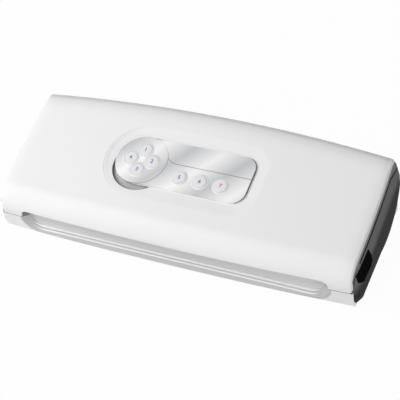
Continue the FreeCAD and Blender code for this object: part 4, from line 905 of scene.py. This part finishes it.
EDGE_WIDTH = 1.1
EDGE_TOP = 0.03
EDGE_LOW = -0.5
EDGE_TURN = 70
EDGE_STEPS = 10


def add_panel_edge():
    """The dark rounded edge at the panel's right end, thinning out round both corners: painted shade of the
    side that turns away from the light.
    """
    corner_u = PANEL_RIGHT - PANEL_CORNER
    corner_v = PANEL_HALF - PANEL_CORNER
    sections = []
    for centre_v, start, end in ((-corner_v, -EDGE_TURN, 0), (corner_v, 0, EDGE_TURN)):
        for degrees in steps(start, end, EDGE_STEPS):
            turn = math.radians(degrees)
            wide = EDGE_WIDTH * math.cos(turn)
            corners = []
            for inset, w in ((0, EDGE_LOW), (0, EDGE_TOP), (wide, EDGE_TOP), (wide, EDGE_LOW)):
                radius = PANEL_CORNER - inset
                spot = Vector((corner_u + radius * math.cos(turn), centre_v + radius * math.sin(turn), w))
                corners.append(PANEL @ spot)
            sections.append(corners)
    add_strip("panel_edge_shade", "lid", sections, "painted_edge_shade")


LINE_V = 3.0
LINE_BEND = 16.0
LINE_BEND_U = -15.4
LINE_BEND_START = math.radians(-145)
LINE_HALF = 0.22
LINE_STEPS = 12


def add_panel_line():
    """The fine dark line across the panel, bending up to the disc."""
    path = []
    for turn in steps(LINE_BEND_START, -math.pi / 2, LINE_STEPS):
        out = Vector((math.cos(turn), math.sin(turn)))
        path.append((Vector((LINE_BEND_U, LINE_V + LINE_BEND)) + LINE_BEND * out, out))
    path.append((Vector((PANEL_RIGHT - EDGE_WIDTH, LINE_V)), Vector((0, -1))))
    sections = []
    for spot, out in path:
        near = spot - LINE_HALF * out
        far = spot + LINE_HALF * out
        corners = ((*near, EDGE_LOW), (*far, EDGE_LOW), (*far, EDGE_TOP), (*near, EDGE_TOP))
        sections.append([PANEL @ Vector(corner) for corner in corners])
    add_strip("panel_line", "lid", sections, "line_grey")


DISH_RINGS = (34.8, 36.6, 38.4)
DISH_START = 27.9
DISH_FLOOR = -1.2
DISH_SLOPE = 2.4 / 19.5
DISH_RING_START = math.radians(105)
DISH_RING_END = math.radians(245)
DISH_RING_HALF = 0.4
DISH_RING_RISE = 0.13
DISH_RING_SINK = 0.05
DISH_RING_STEPS = 48


def add_dish_rings():
    """Fine raised lines in the lid round the left of the disc, in a grey that paints the shade of their
    steps.
    """
    for number, radius in enumerate(DISH_RINGS, 1):
        sections = []
        for share in steps(0, 1, DISH_RING_STEPS):
            turn = DISH_RING_START + (DISH_RING_END - DISH_RING_START) * share
            rise = DISH_RING_RISE * math.sin(math.pi * share)
            section = []
            profile = ((-DISH_RING_HALF, -DISH_RING_SINK), (0, rise), (DISH_RING_HALF, -DISH_RING_SINK))
            for across, lift in profile:
                reach = radius + across
                w = DISH_FLOOR + (reach - DISH_START) * DISH_SLOPE
                spot = PANEL @ Vector((DISC_U + reach * math.cos(turn), reach * math.sin(turn), w))
                height, normal = lid_surface(*spot)
                section.append(spot + normal * (lift - max(height, 0)))
            sections.append(section)
        add_strip(f"dish_ring_{number}", "lid", sections, "dish_line_shade")


NOTCH = (
    # place along the panel, width
    (-51.5, 0.15),
    (-48.5, 0.95),
    (-45.0, 1.1),
    (-41.0, 0.8),
    (-37.0, 0.15),
)
NOTCH_V = 26.1
NOTCH_TOP = -1.06
NOTCH_LOW = -1.4


def add_disc_notch():
    """The small dark slit above the disc, beside the panel's upper edge: a painted shadow of the recess wall
    there.
    """
    sections = []
    for u, width in NOTCH:
        far_v = NOTCH_V + width
        corners = ((u, NOTCH_V, NOTCH_LOW), (u, far_v, NOTCH_LOW),
                   (u, far_v, NOTCH_TOP), (u, NOTCH_V, NOTCH_TOP))
        sections.append([PANEL @ Vector(corner) for corner in corners])
    add_strip("disc_notch_shadow", "lid", sections, "line_grey")


MARK_SIZE = 5.6
MARK_WEIGHT = 0.12
MARK_THICKNESS = 0.06
MARK_SINK = 0.04


def add_mark(number, place):
    """The numeral on one button."""
    node = frame["nodes"][f"push_button_{number}"]
    to_panel = PANEL.inverted()
    crown = max((to_panel @ (vertex.co / MM)).z for vertex in node.data.vertices)
    curve = bpy.data.curves.new("numeral", "FONT")
    curve.body = str(number)
    curve.size = MARK_SIZE
    curve.align_x = "CENTER"
    curve.align_y = "CENTER"
    curve.extrude = MARK_THICKNESS
    curve.offset = MARK_WEIGHT
    text = bpy.data.objects.new("numeral", curve)
    mesh = bpy.data.meshes.new_from_object(text)
    bpy.data.objects.remove(text)
    bpy.data.curves.remove(curve)
    mesh.name = f"button_mark_{number}"
    lift = Matrix.Translation(Vector((*place, crown - MARK_SINK)))
    mesh.transform(Matrix.Scale(MM, 4) @ PANEL @ lift)
    mesh.materials.clear()
    mesh.materials.append(finishes["red_ink" if number == len(BUTTONS) else "violet_ink"])
    add_piece(mesh, f"push_button_{number}")


scene.view_settings.view_transform = "Standard"
add_camera()
set_world()
add_floor()
for lamp in LAMPS:
    add_lamp(*lamp)
finishes = make_finishes()
dress_nodes()
add_lid_skin()
add_cheek_skin("left_cheek_skin", "left_side_panel", -1)
add_cheek_skin("right_cheek_skin", "right_side_panel", 1)
add_panel_bezel()
add_panel_edge()
add_panel_line()
add_dish_rings()
add_disc_notch()
add_beads()
add_cove()
add_seam_liners()
add_cheek_seals()
for index, place in enumerate(BUTTONS):
    add_button_ring(index + 1, place, DISC_TOP if index < DISC_BUTTONS else 0.0)
    add_mark(index + 1, place)
